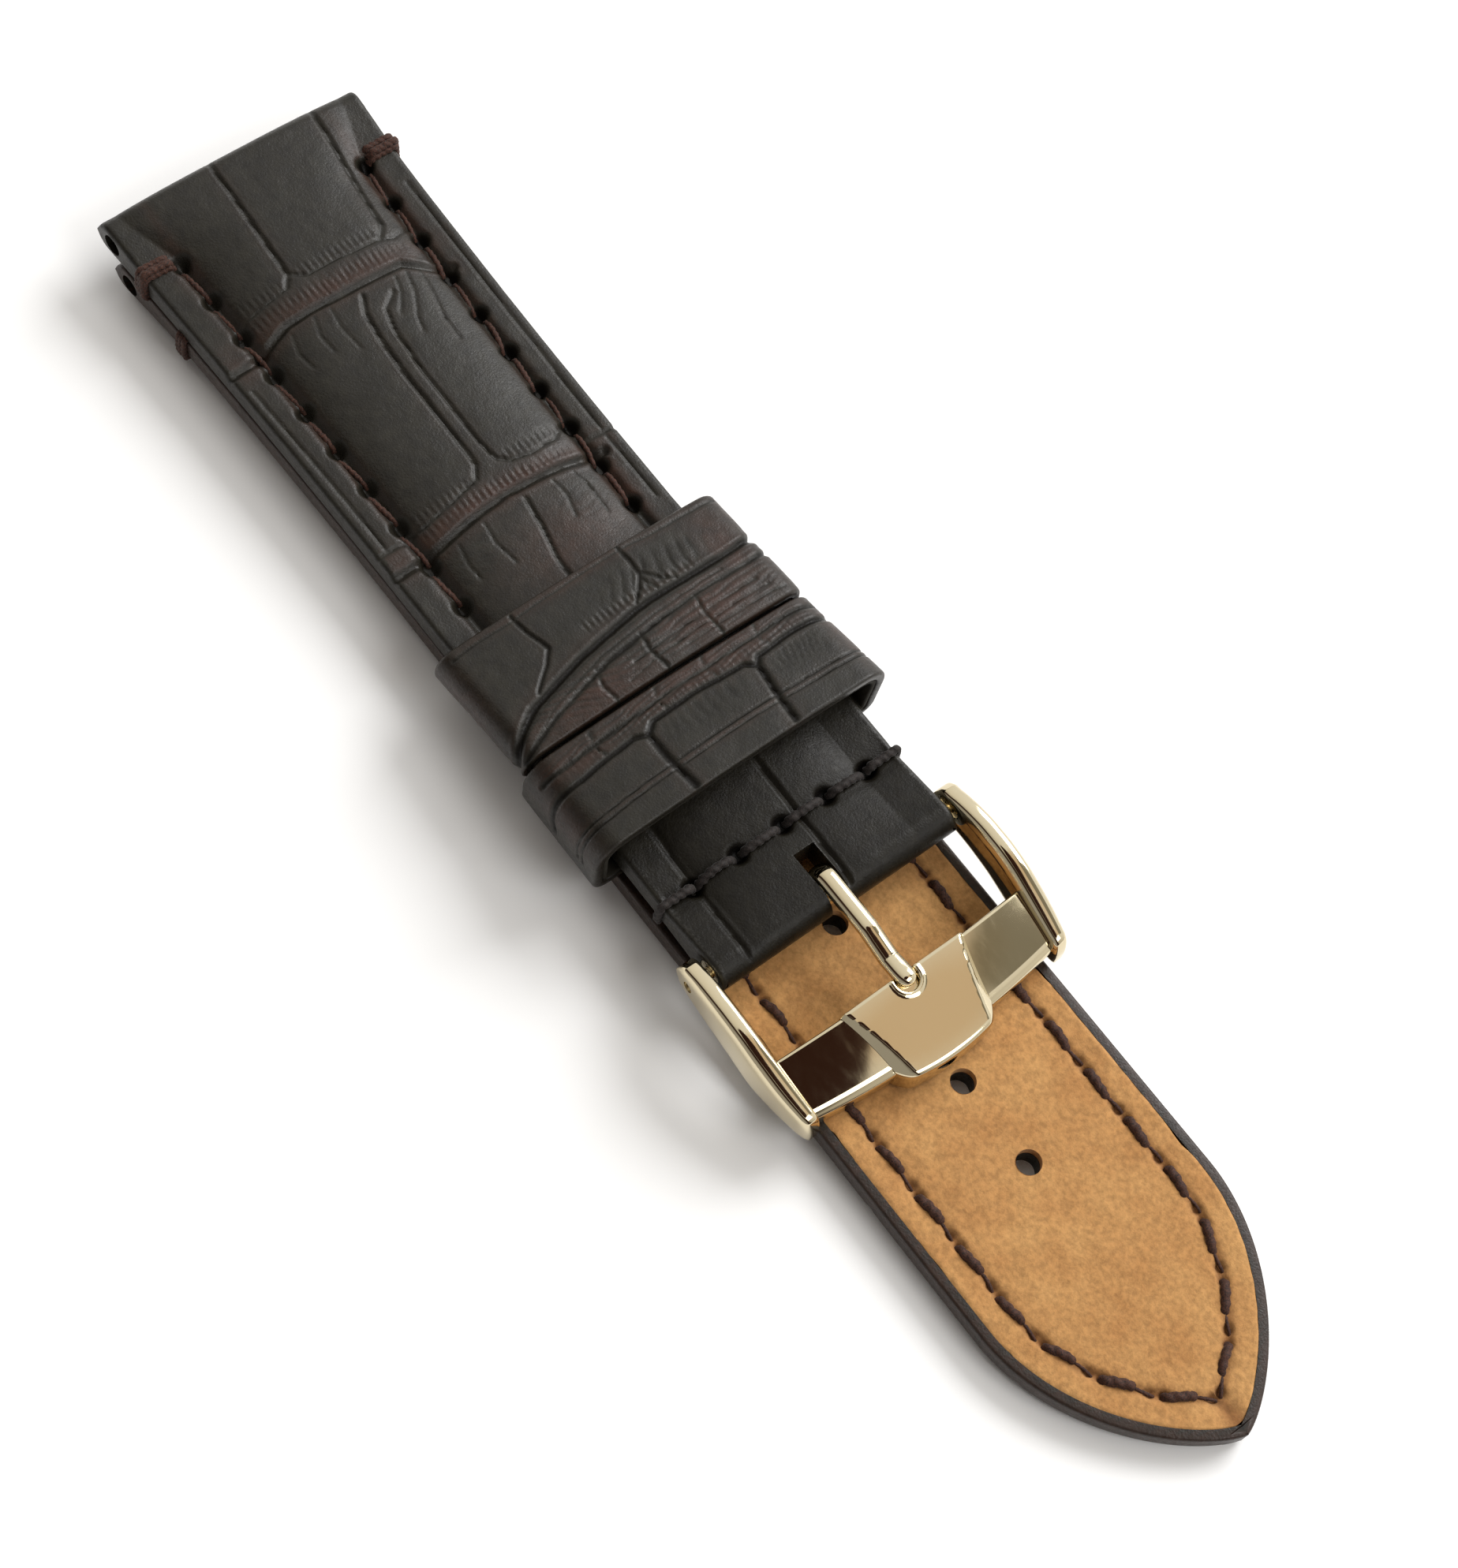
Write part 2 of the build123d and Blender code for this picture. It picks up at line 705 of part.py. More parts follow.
# Spring bar: a tube with a lip at each end, and a sprung pivot behind each lip
barrel_half = window_half_width - barrel_end_gap
head_radius = barrel_bore_radius - running_clearance
head_outer = barrel_half - barrel_lip_length - running_clearance
head_inner = head_outer - pivot_head_length
pivot_end = arm_outer_half + arm_bow / 2 - pivot_recess


def cross_cylinder(y_start, y_end, radius, mode=Mode.ADD):
    """Cylinder on the spring bar's axis, from one place across the strap to another."""
    with BuildSketch(Plane.XZ.offset(-y_start)) as disc:
        with Locations((axis_x, axis_z)):
            Circle(radius)
    extrude(disc.sketch, amount=y_start - y_end, mode=mode)


with BuildPart() as spring_bar_barrel:
    cross_cylinder(-barrel_half, barrel_half, barrel_radius)
    cross_cylinder(-barrel_half - overrun, barrel_half + overrun, pivot_radius + running_clearance,
                   Mode.SUBTRACT)
    cross_cylinder(-barrel_half + barrel_lip_length, barrel_half - barrel_lip_length, barrel_bore_radius,
                   Mode.SUBTRACT)
spring_bar_barrel.part.label = "spring_bar_barrel"

with BuildPart() as spring_bar_tip_left:
    cross_cylinder(head_inner, head_outer, head_radius)
    cross_cylinder(head_inner, pivot_end, pivot_radius)
spring_bar_tip_left.part.label = "spring_bar_tip_left"

with BuildPart() as spring_bar_tip_right:
    cross_cylinder(-head_inner, -head_outer, head_radius)
    cross_cylinder(-head_inner, -pivot_end, pivot_radius)
spring_bar_tip_right.part.label = "spring_bar_tip_right"

# The spring is as short as it gets with both pivots pushed in
spring_half = head_inner - pivot_travel - running_clearance
with BuildPart() as spring_bar_spring:
    cross_cylinder(-spring_half, spring_half, head_radius)
    cross_cylinder(-spring_half - overrun, spring_half + overrun, head_radius - spring_wall, Mode.SUBTRACT)
spring_bar_spring.part.label = "spring_bar_spring"

# Tail piece, face down: its crown rests on the floor and its lining looks up
tail_x = start_x + tail_setback
tail_pad_end = tail_length - tip_length
tail_pad_full = tail_pad_end - pad_fade_length
tail_stations = lug_stations + [between(lug_blend_length, tail_pad_full, share) for share in tail_body_shares]
tail_stations.append(tail_pad_end)
tip_stations = [tail_pad_end + tip_flat_start, tail_length]


def tail_pad_at(distance):
    """Height of the crown beyond the stitched edges: it thins out before the tip, which is nearly flat."""
    if distance > tail_pad_end:
        return pad_tip_height
    faded_share = smooth((distance - tail_pad_full) / pad_fade_length)
    return between(tail_crown_at(distance), pad_end_height, faded_share)


def tail_under_at(distance):
    """Height of the underside of the tail piece's reinforcement."""
    return tail_thickness_at(distance) - backing_thickness


def tip_edge(inset, side):
    """One side of the pointed end's outline, moved inwards by inset, from its shoulder to the tip."""
    half = buckle_width / 2 - inset
    shoulder_x = tail_x + tail_pad_end
    tip_x = tail_x + tail_length - inset * tip_inset_share
    with BuildLine() as edge:
        Spline((shoulder_x, side * half),
               *[(between(shoulder_x, tip_x, along_share), side * between(0, half, across_share))
                 for along_share, across_share in tip_outline_shares],
               (tip_x - tip_flat_width / 2, side * tip_flat_width), tangents=((1, 0), (1, -side)))
    return edge.edge()


def tail_plan(inset):
    """Outline that trims a layer to the pointed end, moved inwards by inset."""
    half = buckle_width / 2 - inset
    shoulder_x = tail_x + tail_pad_end
    tip_x = tail_x + tail_length - inset * tip_inset_share
    with BuildLine() as outline:
        for side in (-1, 1):
            add(tip_edge(inset, side))
            Polyline((shoulder_x, side * half), (shoulder_x, side * lug_width),
                     (tail_x - overrun, side * lug_width), (tail_x - overrun, 0))
        ThreePointArc((tip_x - tip_flat_width / 2, -tip_flat_width), (tip_x, 0),
                      (tip_x - tip_flat_width / 2, tip_flat_width))
    make_face(outline.edges())


def tail_holes():
    """Row of round size holes on the middle line."""
    first_x = tail_x + tail_length - hole_tip_distance
    with BuildSketch(Plane.XY.offset(-overrun)) as holes:
        with Locations([(first_x - index * hole_pitch, 0) for index in range(hole_count)]):
            Circle(hole_radius)
    extrude(holes.sketch, amount=tail_thickness_at(0) + 2 * overrun, mode=Mode.SUBTRACT)


def trim_to_plan(inset):
    """Trim a layer to the tail's outline, moved inwards by inset."""
    with BuildSketch(Plane.XY.offset(-overrun)) as outline:
        tail_plan(inset)
    extrude(outline.sketch, amount=tail_thickness_at(0) + 3 * overrun, mode=Mode.INTERSECT)


with BuildPart() as tail_pocket:
    flat_layer(tail_x, tail_stations + tip_stations, pocket_half_at, tail_under_at,
               backing_thickness + overrun)
    trim_to_plan(edge_turn)

with BuildPart() as tail_upper:
    lug_nose(tail_x, tail_thickness_at, tail_crown_at, -1)
    body_sections = []
    for distance in tail_stations + tip_stations:
        top = tail_thickness_at(distance)
        body_sections.append(strap_section(
            tail_x + distance, half_width_at(distance), crown_half_at(distance),
            (top - edge_thickness_at(distance), top - flange_thickness - tail_pad_at(distance)), (top, top)))
    loft(body_sections, ruled=True)
    trim_to_plan(0)
    add(tail_pocket.part, mode=Mode.SUBTRACT)
    padding(tail_x, tail_stations, tail_under_at, tail_pad_at, -1, 0, 0, Mode.SUBTRACT)
    tunnel(tail_x + lug_tunnel_distance, tail_thickness_at(lug_tunnel_distance) - edge_thickness_at(0) / 2,
           lug_tunnel_radius, lug_width)
    tail_holes()
tail_upper.part.label = "tail_upper"

with BuildPart() as tail_filler:
    padding(tail_x, tail_stations, tail_under_at, tail_pad_at, -1, filler_inset, layer_clearance)
    tail_holes()
tail_filler.part.label = "tail_filler"

tail_layer_stations = [layer_start] + tail_stations[1:] + tip_stations

with BuildPart() as tail_lining:
    flat_layer(tail_x, tail_layer_stations, lining_half_at,
               lambda distance: tail_thickness_at(distance) - lining_thickness, lining_thickness)
    trim_to_plan(edge_turn + layer_clearance)
    tail_holes()
tail_lining.part.label = "tail_lining"

with BuildPart() as tail_reinforcement:
    flat_layer(tail_x, tail_layer_stations, reinforcement_half_at, tail_under_at,
               reinforcement_thickness - layer_clearance)
    trim_to_plan(reinforcement_inset)
    tail_holes()
tail_reinforcement.part.label = "tail_reinforcement"

with BuildPart() as tail_lug_tacks:
    for side in (-1, 1):
        start = tail_tack_distance - tack_width / 2
        end = tail_tack_distance + tack_width / 2
        edge_loop(tail_x + tail_tack_distance, half_width_at(start),
                  tail_thickness_at(end) - edge_thickness_at(start), tail_thickness_at(end) - layer_clearance,
                  seam_inset, side, -1)
tail_lug_tacks.part.label = "tail_lug_tacks"

# The tail's seam runs along both edges and follows the pointed end
tail_seam_start = tail_tack_distance + tack_width
straight_count = int((tail_pad_end - tail_seam_start) / tail_stitch_pitch)


def tail_stitch(x, y, angle):
    """One stitch under the tail piece's stitched edge."""
    face = tail_crown_at(x - tail_x + tail_stitch_pitch)
    stitch(x, y, face - layer_clearance, tail_stitch_pitch * tail_stitch_share, angle,
           -min(thread_height, face - 2 * layer_clearance))


with BuildPart() as tail_seam:
    for side in (-1, 1):
        for index in range(straight_count):
            distance = tail_seam_start + tail_stitch_pitch * (index + middle_share)
            tail_stitch(tail_x + distance, side * (half_width_at(distance) - seam_inset), 0)
        curve = tip_edge(seam_inset, side)
        tip_count = int(curve.length / tail_stitch_pitch)
        for index in range(tip_count):
            share = (index + middle_share) / tip_count
            point = curve.position_at(share)
            tail_stitch(point.X, point.Y, curve.tangent_angle_at(share))
tail_seam.part.label = "tail_seam"

pieces = (
    buckle_side_upper, buckle_side_filler, buckle_side_lining, buckle_side_reinforcement,
    buckle_side_seam_left, buckle_side_seam_right, buckle_side_cross_seam, buckle_side_lug_tacks,
    fixed_keeper, fixed_keeper_lining, free_keeper, free_keeper_lining,
    buckle_frame, buckle_tongue, spring_bar_barrel, spring_bar_tip_left, spring_bar_tip_right,
    spring_bar_spring, tail_upper, tail_filler, tail_lining, tail_reinforcement, tail_seam, tail_lug_tacks,
)
for piece in pieces:
    export_step(piece.part, f"parts/{piece.part.label}.step")
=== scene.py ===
from math import cos, hypot, pi, radians, sin, sqrt

import bmesh
import bpy
import numpy as np
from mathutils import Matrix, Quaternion, Vector


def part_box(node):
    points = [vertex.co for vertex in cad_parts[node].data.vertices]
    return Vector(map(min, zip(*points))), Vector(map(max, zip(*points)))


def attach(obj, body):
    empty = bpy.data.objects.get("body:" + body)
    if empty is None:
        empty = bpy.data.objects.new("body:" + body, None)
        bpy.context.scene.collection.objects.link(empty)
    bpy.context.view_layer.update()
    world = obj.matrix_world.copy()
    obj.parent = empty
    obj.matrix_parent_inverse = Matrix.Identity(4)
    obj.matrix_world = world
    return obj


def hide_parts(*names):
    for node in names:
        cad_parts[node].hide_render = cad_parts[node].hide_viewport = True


bl_info = {
    "name": "Leather watch strap",
    "version": (1, 0, 0),
    "blender": (4, 5, 0),
    "location": "View3D > Sidebar > Strap",
    "description": "Dresses a padded watch strap with scale grain, stitches and a polished pin buckle",
    "category": "Object",
}

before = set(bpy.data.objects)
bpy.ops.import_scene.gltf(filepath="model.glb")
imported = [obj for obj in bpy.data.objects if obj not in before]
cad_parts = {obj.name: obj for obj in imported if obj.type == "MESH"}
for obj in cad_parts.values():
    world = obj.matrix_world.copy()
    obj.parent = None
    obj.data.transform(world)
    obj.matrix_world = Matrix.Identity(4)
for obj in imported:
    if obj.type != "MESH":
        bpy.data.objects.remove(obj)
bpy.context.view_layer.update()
MM = 0.001


def corner(name, high, axis):
    """One side of a CAD node's box, in millimetres."""
    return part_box(name)[high][axis] / MM


# Sizes and places in millimetres. Distances are counted from each piece's own lug end, along X.
BUCKLE_START = corner("buckle_side_upper", 0, 0)
BUCKLE_LENGTH = corner("buckle_side_upper", 1, 0) - BUCKLE_START
TAIL_START = corner("tail_upper", 0, 0)
TAIL_LENGTH = corner("tail_upper", 1, 0) - TAIL_START
LUG_HALF = corner("tail_upper", 1, 1)
BUCKLE_HALF = 10.1
TAPER_LENGTH = 38.0

# Thickness at the edges, more at the lug end, and the crown of the padding above that
FLANGE = 1.8
LUG_EXTRA, LUG_BLEND = 0.7, 8.0
LUG_CROWN, BUCKLE_CROWN, TIP_CROWN = 1.3, 0.6, 0.35
EDGE_ROUND, FOOT_ROUND = 0.4, 0.25
NOSE = 1.25

# The buckle piece lies on the tail piece and lifts off it towards the buckle
STACK_GAP = 0.1
LIFT, LIFT_START, LIFT_LENGTH = 1.5, 40.0, 12.5

# Turned end round the spring bar, tunnels, lining pocket and the tongue's slot
ROLL = 1.55
AXIS = BUCKLE_LENGTH - ROLL
AXIS_Z = (corner("spring_bar_barrel", 0, 2) + corner("spring_bar_barrel", 1, 2)) / 2
SEAT_RADIUS = 0.95
TUNNEL, TUNNEL_RADIUS = 1.75, 0.85
POCKET_START, POCKET_END, POCKET_EDGE, POCKET_DEPTH = 5.0, 66.4, 0.75, 0.78
SLOT_START, SLOT_HALF = AXIS - 3.0, 0.86

# Tail piece: its tip, padding, size holes and lining
TAIL_HALF_END, TAIL_TIP = 98.0, 15.0
TAIL_PAD_FULL = 92.0
HOLE_RADIUS, HOLE_PITCH = 0.9, 6.85
HOLES = [TAIL_LENGTH - 22.1 - HOLE_PITCH * index for index in range(7)]
HOLE_STEP = HOLE_PITCH / 23
LINING_INSET, LINING_FOOT = 0.72, 0.7

# Keepers
KEEPER_LEATHER, KEEPER_LINING = 0.75, 0.45
FIXED_START, FIXED_END = 42.6, 52.7
FREE_START, FREE_END = 53.0, 61.3
OUTLINE_COUNT = 300

# Stitches
SEAM_INSET, SEAM_START = 2.75, 6.1
STITCH_COUNT, STITCH_PITCH = 9, 3.72
CROSS_SEAM, CROSS_PITCH = 65.6, 3.75
TAIL_TACKS, TAIL_SEAM_START, TAIL_PITCH = 8.2, 9.2, 4.15

# Buckle frame and tongue. The frame's places are counted along the part's own X and Z
FRAME_BACK = corner("buckle_frame", 0, 0)
BAR_FLOOR = corner("buckle_frame", 0, 2)
ARM_END, BAR_HALF, PLATE_BACK, NOTCH_HALF = 25.0, 10.3, 20.95, 0.86
PIVOT_RADIUS, TONGUE_THICK = 0.43, 1.1

# Defaults of the two embossing depths, in metres, and the slack in comparing stations
GRAIN_DEPTH, PRESSED_DEPTH = 0.00038, 0.00018
SLACK = 1e-4


def ease(share):
    """Share eased at both ends and held within 0 and 1. Takes numbers and arrays."""
    held = np.clip(share, 0, 1)
    return held * held * (3 - 2 * held)


def half_width(distance):
    """Half the strap's width."""
    left = np.maximum(0, 1 - np.asarray(distance) / TAPER_LENGTH)
    return BUCKLE_HALF + (LUG_HALF - BUCKLE_HALF) * left ** 2


def lug_share(distance):
    """Share of the lug end's extra thickness at a distance from it."""
    return 1 - ease(np.asarray(distance) / LUG_BLEND)


def edge_thickness(distance):
    """Thickness of the strap along its edges."""
    return FLANGE + LUG_EXTRA * lug_share(distance)


def crown_half(distance):
    """Half the width of the padded crown: wider at the lug end, where no stitches run beside it."""
    return half_width(distance) - (3.2 - 1.8 * lug_share(distance))


def tail_crown(distance):
    """Height of the tail piece's crown above its edges."""
    return LUG_CROWN + (TIP_CROWN - LUG_CROWN) * np.asarray(distance) / TAIL_LENGTH


def tail_top(distance):
    """Height of the tail piece's flat upper face, which rests on its crown."""
    return FLANGE + tail_crown(distance)


def buckle_crown(distance):
    """Height of the buckle piece's crown above its edges."""
    return LUG_CROWN + (BUCKLE_CROWN - LUG_CROWN) * np.asarray(distance) / AXIS


def base(distance):
    """Height of the buckle piece's underside."""
    distance = np.asarray(distance)
    return (tail_top(distance - (TAIL_START - BUCKLE_START)) + STACK_GAP
            + LIFT * ease((distance - LIFT_START) / LIFT_LENGTH))


def swell(share):
    """Height share of the padded crown across the strap: flat on top, steep beside the stitches."""
    return np.clip(1 - np.abs(share) ** 3, 0, 1) ** 0.8


def rounded(gap, radius, least=0.0):
    """Share of the full height at a gap from an edge that is rounded with a radius."""
    return np.sqrt(np.clip(1 - np.clip(1 - gap / radius, 0, 1) ** 2, least, 1))


def uneven(x, y, size, seed):
    """Smooth seeded unevenness between -1 and 1, with lumps of one size in millimetres."""
    table = np.random.default_rng(seed).uniform(-1, 1, (64, 64))
    u, v = np.asarray(x) / size, np.asarray(y) / size
    i, j = np.floor(u).astype(int), np.floor(v).astype(int)
    a, b = ease(u - i), ease(v - j)
    low = table[i % 64, j % 64] * (1 - a) + table[(i + 1) % 64, j % 64] * a
    high = table[i % 64, (j + 1) % 64] * (1 - a) + table[(i + 1) % 64, (j + 1) % 64] * a
    return low * (1 - b) + high * b


def line_distance(x, y, points):
    """Distance in millimetres from each place to a line through the points."""
    away = np.full(np.shape(x), 1e9)
    for (ax, ay), (bx, by) in zip(points, points[1:]):
        dx, dy = bx - ax, by - ay
        along = np.clip(((x - ax) * dx + (y - ay) * dy) / (dx * dx + dy * dy), 0, 1)
        away = np.minimum(away, np.hypot(x - ax - along * dx, y - ay - along * dy))
    return away


def emboss(x, y, grain, seed):
    """Height of the embossed grain in millimetres, and its shade: above zero rubbed brown, below it black
    painted shade in the creases and ribs.
    """
    x = x + 0.10 * uneven(x, y, 3.1, seed) + 0.02 * uneven(x, y, 0.6, seed + 1)
    y = y + 0.10 * uneven(x, y, 2.9, seed + 2) + 0.02 * uneven(x, y, 0.6, seed + 3)
    valley, slope, bead, brown, dark = np.zeros((5,) + np.shape(x))
    # A crease is a narrow valley painted black as shade, in a wide rubbed slope, with a low bead along each
    # side
    for depth, width, points in grain["creases"]:
        away = line_distance(x, y, points) / (0.85 * width)
        valley = np.maximum(valley, depth * np.exp(-away ** 2))
        slope = np.maximum(slope, 0.25 * depth * np.exp(-(away / 3.5) ** 2))
        bead = np.maximum(bead, 0.14 * depth * np.exp(-((away - 1.9) / 0.55) ** 2))
        dark = np.maximum(dark, min(1, depth / 0.2) * np.exp(-(away / 0.95) ** 2))
        brown = np.maximum(brown, min(0.45, depth) * np.exp(-(away / 3.5) ** 2))
    height = -valley - slope + bead
    for start, low, high, reach in grain["ends"]:
        near = np.exp(-((x - start) / reach) ** 2) * ease((y - low) / 0.6) * ease((high - y) / 0.6)
        height = height - 0.07 * near * (0.5 + 0.5 * np.cos(2 * pi * y / 0.5))
    for depth, pitch, angle, cx, cy, rx, ry in grain["ribs"]:
        near = np.exp(-(((x - cx) / rx) ** 2 + ((y - cy) / ry) ** 2) ** 2)
        along = (x - cx) * cos(radians(angle)) + (y - cy) * sin(radians(angle))
        along = along + 0.3 * uneven(x, y, 1.6, seed + 7)
        ribs = (0.5 + 0.5 * np.cos(2 * pi * along / pitch)) ** 2
        cut = near * ribs * (0.65 + 0.35 * uneven(x, y, 0.9, seed + 8))
        height = height - depth * cut
        # The rib grooves are painted dark as shade
        dark = np.maximum(dark, 6 * depth * cut)
    for share, cx, cy, rx, ry in grain["rubbed"]:
        brown = np.maximum(brown, share * np.exp(-((x - cx) / rx) ** 2 - ((y - cy) / ry) ** 2))
    # The painted shade is taken from the rubbed brown and turns it black below zero
    brown = np.clip(brown - 1.3 * dark, -1, 1)
    height = height + 0.03 * uneven(x, y, 2.6, seed + 4) + 0.012 * uneven(x, y, 0.7, seed + 5)
    return height, brown


def stack(*coordinates):
    """Grid of points from arrays of X, Y and Z that broadcast to one shape."""
    return np.stack(np.broadcast_arrays(*coordinates), axis=-1)


def around(count):
    """Angles all the way round, with the last one left off."""
    return np.linspace(0, 2 * pi, count, endpoint=False)


def quarter(count):
    """Angles of a quarter turn, with both of its ends."""
    return np.linspace(0, pi / 2, count)


def nearest(places, place):
    """Index of the nearest of some places."""
    return int(np.argmin(np.abs(places - place)))


def run_length(points):
    """Length of the line up to each of its points."""
    return np.concatenate(([0], np.cumsum(np.hypot.reduce(np.diff(points, axis=0), axis=1))))


def follow(points, spots):
    """Places on a line at the given lengths along it, and its direction at each."""
    run = run_length(points)
    line = np.stack([np.interp(spots, run, column) for column in np.transpose(points)], axis=1)
    ahead = np.gradient(line, axis=0)
    return line, ahead / np.linalg.norm(ahead, axis=1)[:, None]


def stations(*runs):
    """Sorted places along a piece, each kept once."""
    return np.unique(np.round(np.concatenate([np.atleast_1d(run) for run in runs]), 5))


def opaque(colour):
    """Colour of a setting as a socket takes it, with no transparency."""
    return tuple(colour) + (1,)


class Shell:
    """Gathers the patches of a piece's surface, in millimetres, and joins them where they meet."""

    def __init__(self):
        self.points, self.faces, self.rub, self.count = [], [], [], 0

    def patch(self, grid, rub=None, wrap_rows=False, wrap_columns=False, skip=None):
        """Adds a grid of points as quads. wrap joins its last row or column to its first."""
        grid = np.asarray(grid, dtype=float)
        rows, columns = grid.shape[:2]
        index = self.count + np.arange(rows * columns).reshape(rows, columns)
        if wrap_rows:
            index = np.vstack((index, index[:1]))
        if wrap_columns:
            index = np.hstack((index, index[:, :1]))
        quads = np.stack((index[:-1, :-1], index[1:, :-1], index[1:, 1:], index[:-1, 1:]), axis=-1)
        if skip is not None:
            quads = quads[~skip]
        self.points.append(grid.reshape(-1, 3))
        self.faces += quads.reshape(-1, 4).tolist()
        self.rub.append(np.zeros(rows * columns) if rub is None else np.asarray(rub, dtype=float).ravel())
        self.count += rows * columns

    def fan(self, ring):
        """Closes a ring of points with one face."""
        self.points.append(np.asarray(ring, dtype=float))
        self.faces.append(list(range(self.count, self.count + len(ring))))
        self.rub.append(np.zeros(len(ring)))
        self.count += len(ring)

    def tube(self, rings):
        """Adds a bar from the rings of its cross sections, closed at both ends."""
        self.patch(rings, wrap_columns=True)
        self.fan(rings[0])
        self.fan(rings[-1])

    def build(self, name, material, sharp=50):
        """Makes the object, welded and shaded smooth apart from its sharp edges."""
        mesh = bpy.data.meshes.new(name)
        mesh.from_pydata((np.concatenate(self.points) * MM).tolist(), [], self.faces)
        layer = mesh.attributes.new("rub", "FLOAT", "POINT")
        layer.data.foreach_set("value", np.concatenate(self.rub))
        shape = bmesh.new()
        shape.from_mesh(mesh)
        bmesh.ops.remove_doubles(shape, verts=shape.verts, dist=1e-6)
        bmesh.ops.recalc_face_normals(shape, faces=shape.faces)
        shape.to_mesh(mesh)
        shape.free()
        mesh.shade_smooth()
        mesh.set_sharp_from_angle(angle=radians(sharp))
        mesh.materials.append(material)
        piece = bpy.data.objects.new(name, mesh)
        bpy.context.scene.collection.objects.link(piece)
        return piece


def dress(piece, body, slot, *nodes):
    """Lets a piece ride on its body and stand for its CAD nodes, which it hides. Its slot is not used."""
    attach(piece, body)
    if nodes:
        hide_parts(*nodes)
    return piece


# Materials
def linear(hex_colour):
    """sRGB hex value as the linear colour that the shaders work in."""
    channels = [int(hex_colour[i:i + 2], 16) / 255 for i in (1, 3, 5)]
    return tuple(c / 12.92 if c <= 0.04045 else ((c + 0.055) / 1.055) ** 2.4 for c in channels) + (1.0,)


def node(tree, kind, settings=None, links=None, stops=()):
    """Adds a shader node with its settings, socket values, incoming links and a ramp's stops."""
    made = tree.nodes.new(kind)
    for key, value in (settings or {}).items():
        if isinstance(key, str) and hasattr(made, key):
            setattr(made, key, value)
        else:
            made.inputs[key].default_value = value
    for key, source in (links or {}).items():
        tree.links.new(source, made.inputs[key])
    for index, (place, value) in enumerate(stops):
        element = made.color_ramp.elements[index] if index < 2 else made.color_ramp.elements.new(place)
        element.position = place
        element.color = value if isinstance(value, tuple) else (value, value, value, 1)
    return made


def blank_material(name):
    """Empty node material and its tree."""
    material = bpy.data.materials.new(name)
    material.use_nodes = True
    material.node_tree.nodes.clear()
    return material, material.node_tree


def embossed_waxed_calf(settings):
    """Plated and waxed calf leather, embossed: near-black brown, semi-matt, rubbed reddish in its grooves."""
    material, tree = blank_material("embossed_waxed_calf")
    place = {"Vector": node(tree, "ShaderNodeTexCoord").outputs["Object"]}
    rub = node(tree, "ShaderNodeAttribute", {"attribute_name": "rub"}).outputs["Fac"]
    # Object units are metres: 1 / 0.9 mm mottling, pores of 0.16 mm and hair creases about 0.35 mm apart
    mottle = node(tree, "ShaderNodeTexNoise", {"Scale": 1100.0, "Detail": 4.0, "Roughness": 0.6}, place)
    pores = node(tree, "ShaderNodeTexVoronoi", {"feature": "F1", "Scale": 6200.0, "Randomness": 1.0}, place)
    hair = node(tree, "ShaderNodeTexNoise",
                {"Scale": 2900.0, "Detail": 6.0, "Roughness": 0.66, "Distortion": 0.6}, place)
    mottling = {"Fac": mottle.outputs["Fac"]}
    cloudy = node(tree, "ShaderNodeValToRGB", links=mottling, stops=((0.35, 0.0), (0.75, 1.0)))
    body = node(tree, "ShaderNodeMix", {"data_type": "RGBA", 6: opaque(settings.leather),
                                        7: opaque(settings.leather_light)}, {0: cloudy.outputs[0]})
    worn = node(tree, "ShaderNodeValToRGB", links=mottling, stops=((0.3, 0.45), (0.6, 1.0)))
    patchy = node(tree, "ShaderNodeMath", {"operation": "MULTIPLY"}, {0: rub, 1: worn.outputs[0]})
    colour = node(tree, "ShaderNodeMix", {"data_type": "RGBA", 7: opaque(settings.leather_rub)},
                  {0: patchy.outputs[0], 6: body.outputs[2]})
    # Below zero the attribute mixes in near-black painted shade for creases, ribs, seam channels and stitch
    # holes, and darkens the leather beyond the keepers
    hollow = node(tree, "ShaderNodeMath", {"operation": "MULTIPLY", 1: -0.85, "use_clamp": True}, {0: rub})
    shaded = node(tree, "ShaderNodeMix", {"data_type": "RGBA", 7: linear("#080605")},
                  {0: hollow.outputs[0], 6: colour.outputs[2]})
    # The wax is buffed on the high parts only, so the creases stay dull
    gloss = node(tree, "ShaderNodeMapRange",
                 {"From Min": -0.5, "From Max": 0.0, "To Min": 0.14, "To Max": 0.36}, {"Value": rub})
    roughness = node(tree, "ShaderNodeValToRGB", links={"Fac": hair.outputs["Fac"]},
                     stops=((0.3, 0.32), (0.7, 0.5)))
    fine = node(tree, "ShaderNodeBump", {"Strength": 0.35, "Distance": 0.00003},
                {"Height": pores.outputs["Distance"]})
    bump = node(tree, "ShaderNodeBump", {"Strength": 0.5, "Distance": 0.00006},
                {"Height": hair.outputs["Fac"], "Normal": fine.outputs[0]})
    surface = node(tree, "ShaderNodeBsdfPrincipled", {"IOR": 1.5},
                   {"Specular IOR Level": gloss.outputs[0], "Base Color": shaded.outputs[2],
                    "Roughness": roughness.outputs[0], "Normal": bump.outputs[0]})
    node(tree, "ShaderNodeOutputMaterial", links={"Surface": surface.outputs[0]})
    return material


